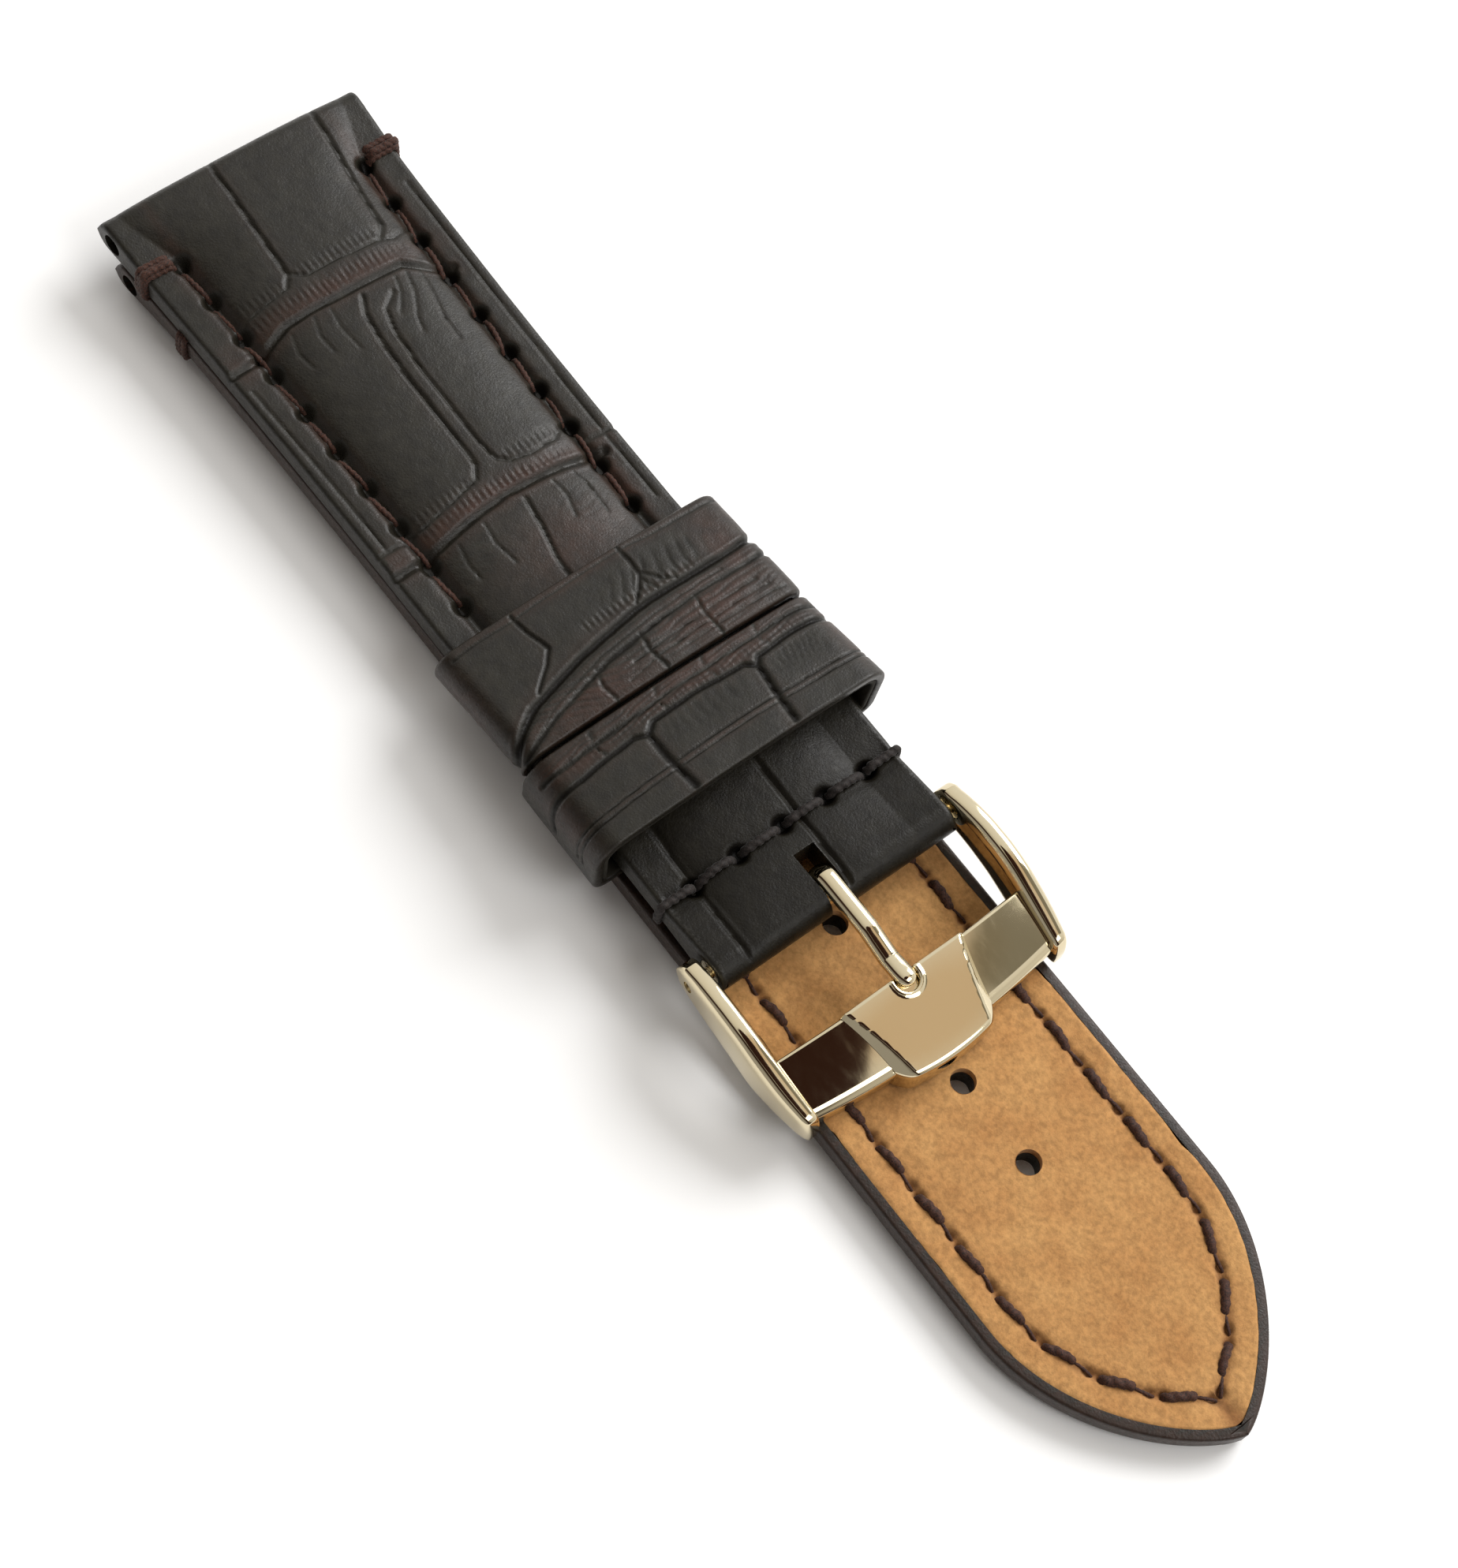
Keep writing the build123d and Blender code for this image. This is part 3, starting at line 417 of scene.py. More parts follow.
def tan_nubuck(settings):
    """Buffed nubuck: tan, dry and velvety, with cloudy darker patches and a short nap."""
    material, tree = blank_material("tan_nubuck")
    place = {"Vector": node(tree, "ShaderNodeTexCoord").outputs["Object"]}
    rub = node(tree, "ShaderNodeAttribute", {"attribute_name": "rub"}).outputs["Fac"]
    # Clouds 4 mm across, nap specks 0.45 mm, drawn coarse so that they show, and crumpled grain 0.6 mm
    clouds = node(tree, "ShaderNodeTexNoise", {"Scale": 260.0, "Detail": 5.0, "Roughness": 0.6}, place)
    nap = node(tree, "ShaderNodeTexNoise", {"Scale": 2200.0, "Detail": 4.0, "Roughness": 0.7}, place)
    crumple = node(tree, "ShaderNodeTexVoronoi", {"feature": "DISTANCE_TO_EDGE", "Scale": 1700.0}, place)
    cloudy = node(tree, "ShaderNodeValToRGB", links={"Fac": clouds.outputs["Fac"]},
                  stops=((0.35, 0.0), (0.7, 0.8)))
    tone = node(tree, "ShaderNodeMix", {"data_type": "RGBA", 6: opaque(settings.lining),
                                        7: opaque(settings.lining_dark)}, {0: cloudy.outputs[0]})
    # The pressed colour marks the seam line and, as painted shade, the stitch holes
    pressed = node(tree, "ShaderNodeMix", {"data_type": "RGBA", 7: opaque(settings.lining_pressed)},
                   {0: rub, 6: tone.outputs[2]})
    specks = node(tree, "ShaderNodeValToRGB", links={"Fac": nap.outputs["Fac"]},
                  stops=((0.36, 0.62), (0.62, 1.0)))
    colour = node(tree, "ShaderNodeMix", {"data_type": "RGBA", "blend_type": "MULTIPLY", 0: 0.8},
                  {6: pressed.outputs[2], 7: specks.outputs[0]})
    fine = node(tree, "ShaderNodeBump", {"Strength": 0.6, "Distance": 0.00009},
                {"Height": nap.outputs["Fac"]})
    bump = node(tree, "ShaderNodeBump", {"Strength": 0.4, "Distance": 0.00008},
                {"Height": crumple.outputs["Distance"], "Normal": fine.outputs[0]})
    surface = node(tree, "ShaderNodeBsdfPrincipled",
                   {"Roughness": 0.85, "IOR": 1.45, "Specular IOR Level": 0.25, "Sheen Weight": 0.12,
                    "Sheen Roughness": 0.5},
                   {"Base Color": colour.outputs[2], "Normal": bump.outputs[0]})
    node(tree, "ShaderNodeOutputMaterial", links={"Surface": surface.outputs[0]})
    return material


def dyed_split_leather(settings):
    """Split leather inside the keepers: dyed through, dark and dull with a short nap."""
    material, tree = blank_material("dyed_split_leather")
    place = {"Vector": node(tree, "ShaderNodeTexCoord").outputs["Object"]}
    # Nap specks 0.3 mm across
    nap = node(tree, "ShaderNodeTexNoise", {"Scale": 3300.0, "Detail": 3.0, "Roughness": 0.7}, place)
    bump = node(tree, "ShaderNodeBump", {"Strength": 0.4, "Distance": 0.00004},
                {"Height": nap.outputs["Fac"]})
    surface = node(tree, "ShaderNodeBsdfPrincipled",
                   {"Base Color": opaque(settings.leather_light), "Roughness": 0.85, "IOR": 1.5,
                    "Specular IOR Level": 0.25}, {"Normal": bump.outputs[0]})
    node(tree, "ShaderNodeOutputMaterial", links={"Surface": surface.outputs[0]})
    return material


def waxed_thread(name, colour, dark):
    """Waxed linen thread: dull and fibrous, with a dark tone painted on as shade between its plies, scattered
    at random by fibre noise.
    """
    material, tree = blank_material(name)
    place = {"Vector": node(tree, "ShaderNodeTexCoord").outputs["Object"]}
    # Fibres 0.11 mm apart, which scatter the painted ply shade
    fibres = node(tree, "ShaderNodeTexNoise", {"Scale": 9000.0, "Detail": 3.0, "Roughness": 0.7},
                  place).outputs["Fac"]
    shade = node(tree, "ShaderNodeValToRGB", links={"Fac": fibres}, stops=((0.35, 0.0), (0.6, 1.0)))
    tone = node(tree, "ShaderNodeMix", {"data_type": "RGBA", 6: opaque(dark), 7: opaque(colour)},
                {0: shade.outputs[0]})
    bump = node(tree, "ShaderNodeBump", {"Strength": 0.5, "Distance": 0.00004}, {"Height": fibres})
    surface = node(tree, "ShaderNodeBsdfPrincipled",
                   {"Roughness": 0.7, "Specular IOR Level": 0.3, "Sheen Weight": 0.1, "Sheen Roughness": 0.4},
                   {"Base Color": tone.outputs[2], "Normal": bump.outputs[0]})
    node(tree, "ShaderNodeOutputMaterial", links={"Surface": surface.outputs[0]})
    return material


def polished_steel(name, colour, low, high):
    """Stainless steel: mirror-polished or drawn, with faint hairline wear that breaks up its reflections."""
    material, tree = blank_material(name)
    place = node(tree, "ShaderNodeTexCoord").outputs["Object"]
    # Wear lines 0.7 mm apart, four times as long along the strap
    stretch = node(tree, "ShaderNodeMapping", {"Scale": (0.25, 1.0, 1.0)}, {"Vector": place})
    wear = node(tree, "ShaderNodeTexNoise", {"Scale": 1500.0, "Detail": 5.0, "Roughness": 0.7},
                {"Vector": stretch.outputs[0]}).outputs["Fac"]
    roughness = node(tree, "ShaderNodeValToRGB", links={"Fac": wear}, stops=((0.45, low), (0.8, high)))
    bump = node(tree, "ShaderNodeBump", {"Strength": 0.02, "Distance": 0.00002}, {"Height": wear})
    # The cream tint of the steel's colour is a painted reflection of the warm room it mirrors
    surface = node(tree, "ShaderNodeBsdfPrincipled", {"Metallic": 1.0, "Base Color": opaque(colour)},
                   {"Roughness": roughness.outputs[0], "Normal": bump.outputs[0]})
    node(tree, "ShaderNodeOutputMaterial", links={"Surface": surface.outputs[0]})
    return material


def brown_waxed_thread(settings):
    """Brown waxed thread of the seams."""
    return waxed_thread("brown_waxed_thread", settings.brown, settings.brown_dark)


def black_waxed_thread(settings):
    """Near-black waxed thread of the cross seam."""
    return waxed_thread("black_waxed_thread", settings.black, settings.black_dark)


def mirror_polished_steel(settings):
    """Stainless steel of the buckle, polished to a mirror."""
    return polished_steel("mirror_polished_steel", settings.steel, settings.polish, settings.polish * 2)


def drawn_steel(settings):
    """Stainless steel of the spring bar, drawn and left satin."""
    return polished_steel("drawn_steel", settings.steel, 0.25, 0.4)


# Buckle piece
def tunnel_offset(distance, centre, radius):
    """Half the height of a cross tunnel at a distance, and nothing outside it."""
    return np.sqrt(np.maximum(0, radius ** 2 - (distance - centre) ** 2))


def tunnel_stations(centre, radius, count=13):
    """Stations over a cross tunnel, closer together at both of its ends."""
    return centre + radius * np.cos(np.linspace(0, pi, count))


def in_tunnel(distance, centre, radius):
    """Which stations lie in a cross tunnel."""
    return np.abs(distance - centre) < radius + SLACK


def wall(top, bottom, middle, offset):
    """Points down an edge from its top to its bottom, split where a tunnel opens."""
    shares = np.linspace(0, 1, 4)[:, None]
    upper = top + (middle + offset - top) * shares
    lower = middle - offset + (bottom - middle + offset) * shares
    return upper.T, lower.T


def roll_share(distance):
    """Share to which the buckle piece has gone over into its turned end."""
    return np.clip((distance - POCKET_END) / (AXIS - POCKET_END), 0, 1)


def close_ends(distance, height):
    """Height of the buckle piece's face, closed round its turned end and its lug end."""
    height = AXIS_Z + (height - AXIS_Z) * rounded(AXIS + ROLL - distance, ROLL)
    return close_nose(distance, height, base(distance) + edge_thickness(0) / 2)


def close_nose(distance, height, centre):
    """Height of a face that is drawn in to its centre at the rounded lug end."""
    return np.where(distance < NOSE, centre + (height - centre) * rounded(distance, NOSE, 0.02), height)


# Embossed grain in millimetres, with places as (distance, side). A crease is its depth, half width and run.
# An end is a row of notches: its distance, its lowest and highest side and its reach. Ribs are their depth,
# pitch, angle, middle and reach. A rubbed patch is its share of brown, its middle and its reach.
BUCKLE_GRAIN = {
    "creases": (
        (0.17, 0.20, ((0, -1.9), (4, -2.0), (8, -2.2), (11.4, -2.4), (12.3, -3.1))),
        (0.17, 0.20, ((0, 7.1), (4, 6.7), (8, 6.2), (11.3, 5.7), (12.4, 4.8))),
        (0.13, 0.16, ((12.4, 4.8), (12.4, 3), (12.2, 0.5), (12.2, -1.3), (11.4, -2.4))),
        (0.13, 0.16, ((12.3, -3.1), (12.6, -5), (12.8, -7), (13.6, -8.2))),
        (0.13, 0.16, ((12.4, 4.8), (12.6, 5.8), (12.2, 7.6))),
        (0.36, 0.34, ((16.8, 8.2), (16.1, 6.8), (14.9, 5), (14.8, 1), (14.8, -5), (15.5, -7.5),
                      (15.8, -10.6))),
        (0.15, 0.17, ((16.6, 3.0), (17.6, 1.7), (19.5, 1.15), (24, 0.95), (30, 0.85), (31.8, 1.05),
                      (32.5, 1.9))),
        (0.17, 0.20, ((15.8, 0.9), (17.2, 0.2), (20, -0.15), (26, -0.3), (31.3, -0.4), (32.4, -1.1))),
        (0.14, 0.16, ((32.5, 1.9), (32.8, 3.5), (32.6, 5.7), (31.7, 6.9))),
        (0.15, 0.18, ((32.4, -1.1), (33.0, -3.6), (33.2, -6.3), (33.0, -7.6))),
        (0.38, 0.36, ((35.2, 8.3), (35, 7), (34.7, 4), (34.5, 0), (34.8, -3), (35, -5), (35.2, -7.5),
                      (35.4, -10.4))),
        (0.15, 0.20, ((35.6, 0.9), (38, 0.5), (41, 0), (45, -0.2))),
        (0.10, 0.15, ((17.6, -9.65), (22, -9.45), (28, -9.3), (33.2, -9.2))),
        (0.18, 0.22, ((33.3, -8.0), (33.4, -10.4))),
        (0.10, 0.14, ((9, 9.75), (18, 9.45), (27, 9.25), (40, 9.15))),
        (0.16, 0.22, ((33.8, 8.0), (34.0, 10.3))),
        (0.09, 0.12, ((15.6, 4.9), (17.3, 4.4), (19.2, 3.3), (20.6, 2.9))),
        (0.09, 0.12, ((15.6, 3.9), (17.0, 3.4), (18.4, 2.4))),
        (0.08, 0.12, ((15.9, 5.9), (18.0, 5.5), (20.3, 4.9), (22.4, 4.9))),
        (0.07, 0.12, ((15.5, -1.6), (17.2, -1.9), (19.4, -1.7))),
        (0.07, 0.12, ((15.5, -3.0), (17.0, -3.5), (18.6, -3.4))),
        (0.07, 0.12, ((15.7, -5.0), (17.2, -5.4), (18.8, -5.2))),
        (0.08, 0.12, ((35.4, 3.4), (36.8, 3.6), (38.6, 3.1))),
        (0.08, 0.12, ((35.5, 5.2), (37.0, 5.5), (39.4, 5.3))),
        (0.08, 0.12, ((35.6, -2.6), (37.2, -2.9), (39.2, -2.6))),
        (0.08, 0.12, ((35.8, -5.0), (37.4, -5.3), (38.8, -5.2))),
        (0.20, 0.24, ((60, 1.5), (66, 1.3), (69.5, 1.2), (71.5, 1.1))),
        (0.18, 0.24, ((60, -7.2), (66, -7.4), (70, -7.6), (72, -7.7))),
    ),
    "ends": ((11.7, -2.2, 5.4, 0.45), (12.0, -8, -3, 0.45), (32.0, 1.2, 6.8, 0.45), (32.5, -7.6, -1.0, 0.4),
             (13.6, -7.5, 6.5, 0.5), (33.8, -7, 6.5, 0.45)),
    "ribs": ((0.04, 0.5, 80, 13.6, 0, 0.9, 7.5), (0.04, 0.5, 80, 33.9, 0, 0.8, 7.5),
             (0.03, 0.62, 20, 37.5, 4.5, 1.6, 2.2), (0.03, 0.6, -15, 37.5, -4.6, 1.4, 2.4)),
    "rubbed": ((0.9, 9.5, 7.9, 6.0, 0.75), (0.8, 14.2, 0, 1.2, 8.5), (0.9, 34.2, 0, 1.1, 9.0),
               (0.85, 37.5, 7.6, 4.5, 0.9), (0.7, 20, 7.6, 5, 0.5), (0.75, 20, -7.7, 16, 0.45),
               (0.7, 7.0, -8.0, 2.0, 0.8), (0.55, 34.5, -9, 1.5, 1.6), (0.5, 15.6, -9, 1.5, 1.6),
               (0.6, 30, 7.5, 6, 0.5), (0.55, 40, 2, 3, 5)),
}


def buckle_top(distance, side):
    """Height of the buckle piece's top before its grain: a padded crown that ends in the turned roll."""
    roll_top = AXIS_Z + ROLL
    flange = base(distance) + edge_thickness(distance)
    flange = flange + (roll_top - 0.15 - flange) * roll_share(distance)
    middle = base(distance) + FLANGE + buckle_crown(distance)
    middle = middle + (roll_top - middle) * roll_share(distance)
    return close_ends(distance, flange + (middle - flange) * swell(side / crown_half(distance)))


def buckle_bottom(distance):
    """Height of the buckle piece's underside, closed at both ends."""
    low = base(distance)
    return close_ends(distance, low + (AXIS_Z - ROLL - low) * roll_share(distance))


def pits(x, y, places, radius, depth):
    """Depth of pricked stitch holes."""
    pressed = np.zeros(np.shape(x))
    for place_x, place_y in places:
        away = ((x - place_x) ** 2 + (y - place_y) ** 2) / radius ** 2
        pressed = np.maximum(pressed, depth * np.exp(-away ** 2))
    return pressed


def side_holes(side):
    """Pricked holes of one side seam of the buckle piece."""
    spots = [SEAM_START + STITCH_PITCH * index for index in range(STITCH_COUNT + 1)]
    return [(spot, side * (float(half_width(spot)) - SEAM_INSET)) for spot in spots]


def buckle_relief(distance, side, depth):
    """Grain, seam channels and stitch holes of the buckle piece's top, and its shade, with black painted
    shade in the creases, channel middles and holes.
    """
    height, brown = emboss(distance, side, BUCKLE_GRAIN, 11)
    height = height * depth * ease(distance / 0.9) * ease((AXIS + 1.4 - distance) / 0.8)
    for sign in (-1, 1):
        seam = np.abs(side - sign * (half_width(distance) - SEAM_INSET))
        there = ease(distance - (SEAM_START - 0.6)) * ease(FIXED_START + 0.5 - distance)
        height = height - 0.42 * there * np.exp(-(seam / 0.4) ** 2)
        worn = 0.6 + 0.4 * uneven(distance, side, 1.4, 15)
        brown = np.maximum(brown, 0.6 * there * np.exp(-(seam / 0.7) ** 2) * worn)
        # Black painted shade down the middle of each seam channel
        brown = brown - 0.75 * there * np.exp(-(seam / 0.32) ** 2)
        holes = pits(distance, side, side_holes(sign), radius=0.6, depth=0.62)
        # The stitch holes are painted black as shade
        height, brown = height - holes, brown - 3 * holes
    across = np.abs(distance - CROSS_SEAM)
    height = height - 0.2 * np.exp(-(across / 0.8) ** 2) * ease((9.9 - np.abs(side)) / 0.5)
    places = [(CROSS_SEAM, CROSS_PITCH * index) for index in (-2, -1, 0, 1, 2)]
    holes = pits(distance, side, places, radius=0.62, depth=0.7)
    # The cross seam's holes are painted black as shade too
    height, brown = height - holes, np.clip(brown - 2.5 * holes, -1, 1)
    # The leather is made darker beyond the keepers, towards the turned end
    toward_end = ease((distance - 60) / 3)
    return height, np.where(brown > 0, brown * (1 - 0.85 * toward_end), brown) - 0.4 * toward_end


def strap_rim(shell, x, half, top, bottom, middle, offset, side):
    """Adds one edge of a strap: rounded top, wall with its tunnel opening, rounded bottom.

    top and bottom are the heights of the faces beside the edge, one for each station. Returns the points
    above and below the tunnel's opening.
    """
    turn = quarter(6)
    thick = (top - bottom)[:, None]
    upper_r = np.minimum(EDGE_ROUND, 0.4 * thick)
    lower_r = np.minimum(FOOT_ROUND, 0.3 * thick)
    top, bottom, x, half = top[:, None], bottom[:, None], x[:, None], half[:, None]
    crest = stack(x, side * (half - upper_r + upper_r * np.sin(turn)), top - upper_r * (1 - np.cos(turn)))
    upper, lower = wall((top - upper_r).T, (bottom + lower_r).T, middle[None, :], offset[None, :])
    face_up, face_low = stack(x, side * half, upper), stack(x, side * half, lower)
    foot = stack(x, side * (half - lower_r + lower_r * np.cos(turn)), bottom + lower_r * (1 - np.sin(turn)))
    for part in (crest, face_up, face_low, foot):
        shell.patch(part)
    return np.concatenate((crest, face_up[:, 1:]), axis=1), np.concatenate((face_low, foot[:, 1:]), axis=1)


def tunnel_walls(shell, rows, upper_a, upper_b, lower_a, lower_b):
    """Adds the wall of a cross tunnel between two openings."""
    shell.patch(np.stack((upper_a[rows], upper_b[rows]), axis=1))
    shell.patch(np.stack((lower_a[rows], lower_b[rows]), axis=1))


def build_buckle_leather(settings, material):
    """Outer leather of the buckle piece: one skin with its pocket, both tunnels and the tongue's slot."""
    distance = stations(
        NOSE * (1 - np.cos(quarter(12))), np.arange(1.3, AXIS, 0.15),
        tunnel_stations(TUNNEL, TUNNEL_RADIUS), POCKET_START, POCKET_END, SLOT_START,
        tunnel_stations(AXIS, SEAT_RADIUS, 15),
        AXIS + ROLL * np.sin(np.radians(np.linspace(0, 86, 16))))
    x = BUCKLE_START + distance
    half = half_width(distance)
    slot = SLOT_HALF / (BUCKLE_HALF - EDGE_ROUND)
    across = stations(np.linspace(-1, 1, 141), slot, -slot)
    side = (half - EDGE_ROUND)[:, None] * across
    spread = np.broadcast_to(distance[:, None], side.shape)
    relief, brown = buckle_relief(spread, side, settings.grain_depth / GRAIN_DEPTH)
    top = stack(x[:, None], side, buckle_top(spread, side) + relief)
    bottom = buckle_bottom(distance)
    columns = nearest(across, -slot), nearest(across, slot)
    first = nearest(distance, SLOT_START)

    shell = Shell()
    skip = np.zeros((len(distance) - 1, len(across) - 1), dtype=bool)
    skip[first:, columns[0]:columns[1]] = True
    shell.patch(top, brown, skip=skip)

    seat_offset = tunnel_offset(distance, AXIS, SEAT_RADIUS)
    offset = tunnel_offset(distance, TUNNEL, TUNNEL_RADIUS) + seat_offset
    lug_rows = in_tunnel(distance, TUNNEL, TUNNEL_RADIUS)
    seat_rows = in_tunnel(distance, AXIS, SEAT_RADIUS)
    middle = (top[:, 0, 2] + bottom) / 2
    middle = np.where(lug_rows, base(TUNNEL) + edge_thickness(0) / 2, np.where(seat_rows, AXIS_Z, middle))
    edges = {sign: strap_rim(shell, x, half, top[:, index, 2], bottom, middle, offset, sign)
             for sign, index in ((-1, 0), (1, -1))}

    # Underside, with the pocket that holds the lining
    pocket = half - POCKET_EDGE
    foot = half - np.minimum(FOOT_ROUND, 0.3 * (top[:, 0, 2] - bottom))
    slot_side = np.full_like(half, SLOT_HALF)
    low_sides = np.stack((-foot, -pocket, -slot_side, slot_side, pocket, foot), axis=1)
    low = stack(x[:, None], low_sides, bottom[:, None])
    rows = np.flatnonzero((distance >= POCKET_START - SLACK) & (distance <= POCKET_END + SLACK))
    skip = np.zeros((len(distance) - 1, 5), dtype=bool)
    skip[rows[0]:rows[-1], 1:4] = True
    skip[first:, 2] = True
    shell.patch(low, skip=skip)
    roof = low[rows][:, 1:5].copy()
    roof[..., 2] += POCKET_DEPTH
    shell.patch(roof)
    for column, roof_column in ((1, 0), (4, 3)):
        shell.patch(np.stack((low[rows, column], roof[:, roof_column]), axis=1))
    for row, roof_row in ((rows[0], 0), (rows[-1], -1)):
        shell.patch(np.stack((low[row, 1:5], roof[roof_row]), axis=0))

    # Cross tunnels and the slot's walls
    tunnel_walls(shell, np.flatnonzero(lug_rows), edges[-1][0][:, -1], edges[1][0][:, -1],
                 edges[-1][1][:, 0], edges[1][1][:, 0])
    seat = np.flatnonzero(seat_rows)
    before_slot = np.zeros((first, 3))
    cheeks = {}
    for sign, column in zip((-1, 1), columns):
        upper, lower = wall(top[first:, column, 2][None, :], bottom[first:][None, :], middle[first:][None, :],
                            seat_offset[first:][None, :])
        cheeks[sign] = [stack(x[first:, None], sign * SLOT_HALF, part) for part in (upper, lower)]
        for part in cheeks[sign]:
            shell.patch(part)
        tunnel_walls(shell, seat, edges[sign][0][:, -1],
                     np.concatenate((before_slot, cheeks[sign][0][:, -1])), edges[sign][1][:, 0],
                     np.concatenate((before_slot, cheeks[sign][1][:, 0])))
    shell.fan(np.concatenate((top[first, columns[0]:columns[1] + 1], cheeks[1][0][0, 1:], cheeks[1][1][0, 1:],
                              low[first, [3, 2]], cheeks[-1][1][0, ::-1], cheeks[-1][0][0, ::-1])))
    for sign, part, foot_columns in ((-1, slice(0, columns[0] + 1), [0, 1, 2]),
                                     (1, slice(columns[1], None), [5, 4, 3])):
        shell.fan(np.concatenate((top[-1, part][::sign], edges[sign][0][-1], edges[sign][1][-1],
                                  low[-1, foot_columns], cheeks[sign][1][-1, ::-1],
                                  cheeks[sign][0][-1, ::-1])))
    shell.fan(np.concatenate((top[0], edges[1][0][0], edges[1][1][0], low[0, ::-1], edges[-1][1][0, ::-1],
                              edges[-1][0][0, ::-1])))
    return dress(shell.build("buckle_piece_leather", material), "buckle_strap", "outer_leather",
                 "buckle_side_upper", "buckle_side_filler", "buckle_side_reinforcement")


def build_buckle_lining(material):
    """Lining in the pocket under the buckle piece."""
    distance = np.arange(POCKET_START + 0.05, POCKET_END - 0.03, 0.4)
    x = BUCKLE_START + distance
    half = half_width(distance) - POCKET_EDGE - 0.04 - 0.04 * uneven(distance, 0, 2.1, 31)
    across = np.linspace(-1, 1, 41)
    side = half[:, None] * across
    edge = 0.12 * (1 - np.minimum(1, (1 - np.abs(across)) / 0.03)) ** 2
    low = stack(x[:, None], side, base(distance)[:, None] + edge + 0.03)
    high = stack(x[:, None], side, base(distance)[:, None] + 0.74)
    shell = Shell()
    shell.patch(low)
    shell.patch(high)
    for cut in (np.s_[0], np.s_[-1], np.s_[:, 0], np.s_[:, -1]):
        shell.patch(np.stack((low[cut], high[cut]), axis=0))
    dress(shell.build("buckle_piece_lining", material), "buckle_strap", "lining_leather",
          "buckle_side_lining")


# Tail piece
def tail_half(distance):
    """Half the tail piece's width, drawn in to its pointed tip."""
    into = np.clip((np.asarray(distance) - TAIL_HALF_END) / TAIL_TIP, 0, 1)
    return half_width(distance) * (1 - into ** 1.9) ** 0.75


def tail_edge():
    """Points along one edge of the tail piece, and the directions that point inwards."""
    distance = np.concatenate((np.arange(-1, TAIL_HALF_END, 0.5),
                               TAIL_HALF_END + TAIL_TIP * (1 - np.linspace(1, 0, 160) ** 2)))
    half = tail_half(np.maximum(0, distance))
    dx, dy = np.gradient(distance), np.gradient(half)
    size = np.hypot(dx, dy)
    return distance, half, dy / size, -dx / size


def tail_inset(distance, inset):
    """Half width of the tail piece's outline moved inwards by a constant inset."""
    edge_x, edge_y, in_x, in_y = tail_edge()
    moved_x, moved_y = edge_x + inset * in_x, edge_y + inset * in_y
    keep = moved_y > 0
    tip = TAIL_LENGTH - 1.2 * inset
    run_x = np.append(moved_x[keep], max(tip, moved_x[keep][-1] + 0.02) if inset else TAIL_LENGTH)
    run_y = np.append(moved_y[keep], 0)
    order = np.argsort(run_x)
    return np.interp(distance, run_x[order], run_y[order], right=0)


def tail_pad(distance):
    """Height of the tail piece's padding, which runs out before its tip."""
    return tail_crown(distance) * (1 - 0.8 * ease((np.asarray(distance) - TAIL_PAD_FULL) / 6))


def tail_seam_points(side):
    """Ends of the stitches round one side of the tail piece, from the lug end to the tip."""
    edge_x, edge_y, in_x, in_y = tail_edge()
    x, y = edge_x + SEAM_INSET * in_x, edge_y + SEAM_INSET * in_y
    keep = (y > -0.05) & (x >= TAIL_SEAM_START)
    line = np.stack((x[keep], y[keep]), axis=1)
    run = run_length(line)
    count = int(round(run[-1] / TAIL_PITCH))
    starts = np.arange(count) * run[-1] / count
    ends = [np.stack([np.interp(starts + share * run[-1] / count, run, line[:, axis]) for axis in (0, 1)],
                     axis=1) for share in (0.1, 0.9)]
    return [((TAIL_START + ax, side * ay), (TAIL_START + bx, side * by))
            for (ax, ay), (bx, by) in zip(*ends)]


def tail_rows():
    """Stations along the tail piece. Their steps divide the pitch of the size holes."""
    return stations(NOSE * (1 - np.cos(quarter(10))), np.arange(1.4, 97.6, HOLE_STEP),
                    tunnel_stations(TUNNEL, TUNNEL_RADIUS), POCKET_START,
                    TAIL_HALF_END + TAIL_TIP * np.sin(quarter(90)))


def hole_rows():
    """Stations over the size holes, one of them in the middle of each."""
    return np.arange(HOLES[-1] - 10 * HOLE_STEP, HOLES[0] + 11 * HOLE_STEP, HOLE_STEP)


def punched(shell, distance, side, height, rub=None):
    """Adds a sheet of the tail piece with its size holes, and returns the rims of the holes."""
    def add(d, y, **options):
        grid = stack(TAIL_START + d, y, height(d, y))
        shell.patch(grid, None if rub is None else rub(d, y), **options)
        return grid

    skip = np.zeros((distance.shape[0] - 1, distance.shape[1] - 1), dtype=bool)
    rims = []
    for hole in HOLES:
        i, j = np.where(np.hypot(distance - hole, side) < HOLE_RADIUS + 0.55)
        low_i, high_i, low_j, high_j = i.min(), i.max(), j.min(), j.max()
        skip[low_i:high_i, low_j:high_j] = True
        order = ([(k, low_j) for k in range(low_i, high_i)] + [(high_i, k) for k in range(low_j, high_j)]
                 + [(k, high_j) for k in range(high_i, low_i, -1)]
                 + [(low_i, k) for k in range(high_j, low_j, -1)])
        loop = np.array([(distance[k], side[k]) for k in order])
        angles = np.arctan2(loop[:, 1], loop[:, 0] - hole)
        inner = np.stack((hole + HOLE_RADIUS * np.cos(angles), HOLE_RADIUS * np.sin(angles)), axis=-1)
        rings = np.array([inner + (loop - inner) * share for share in (0, 0.12, 0.3, 0.6, 1)])
        rims.append(add(rings[..., 0], rings[..., 1], wrap_columns=True)[0])
    add(distance, side, skip=skip)
    return rims


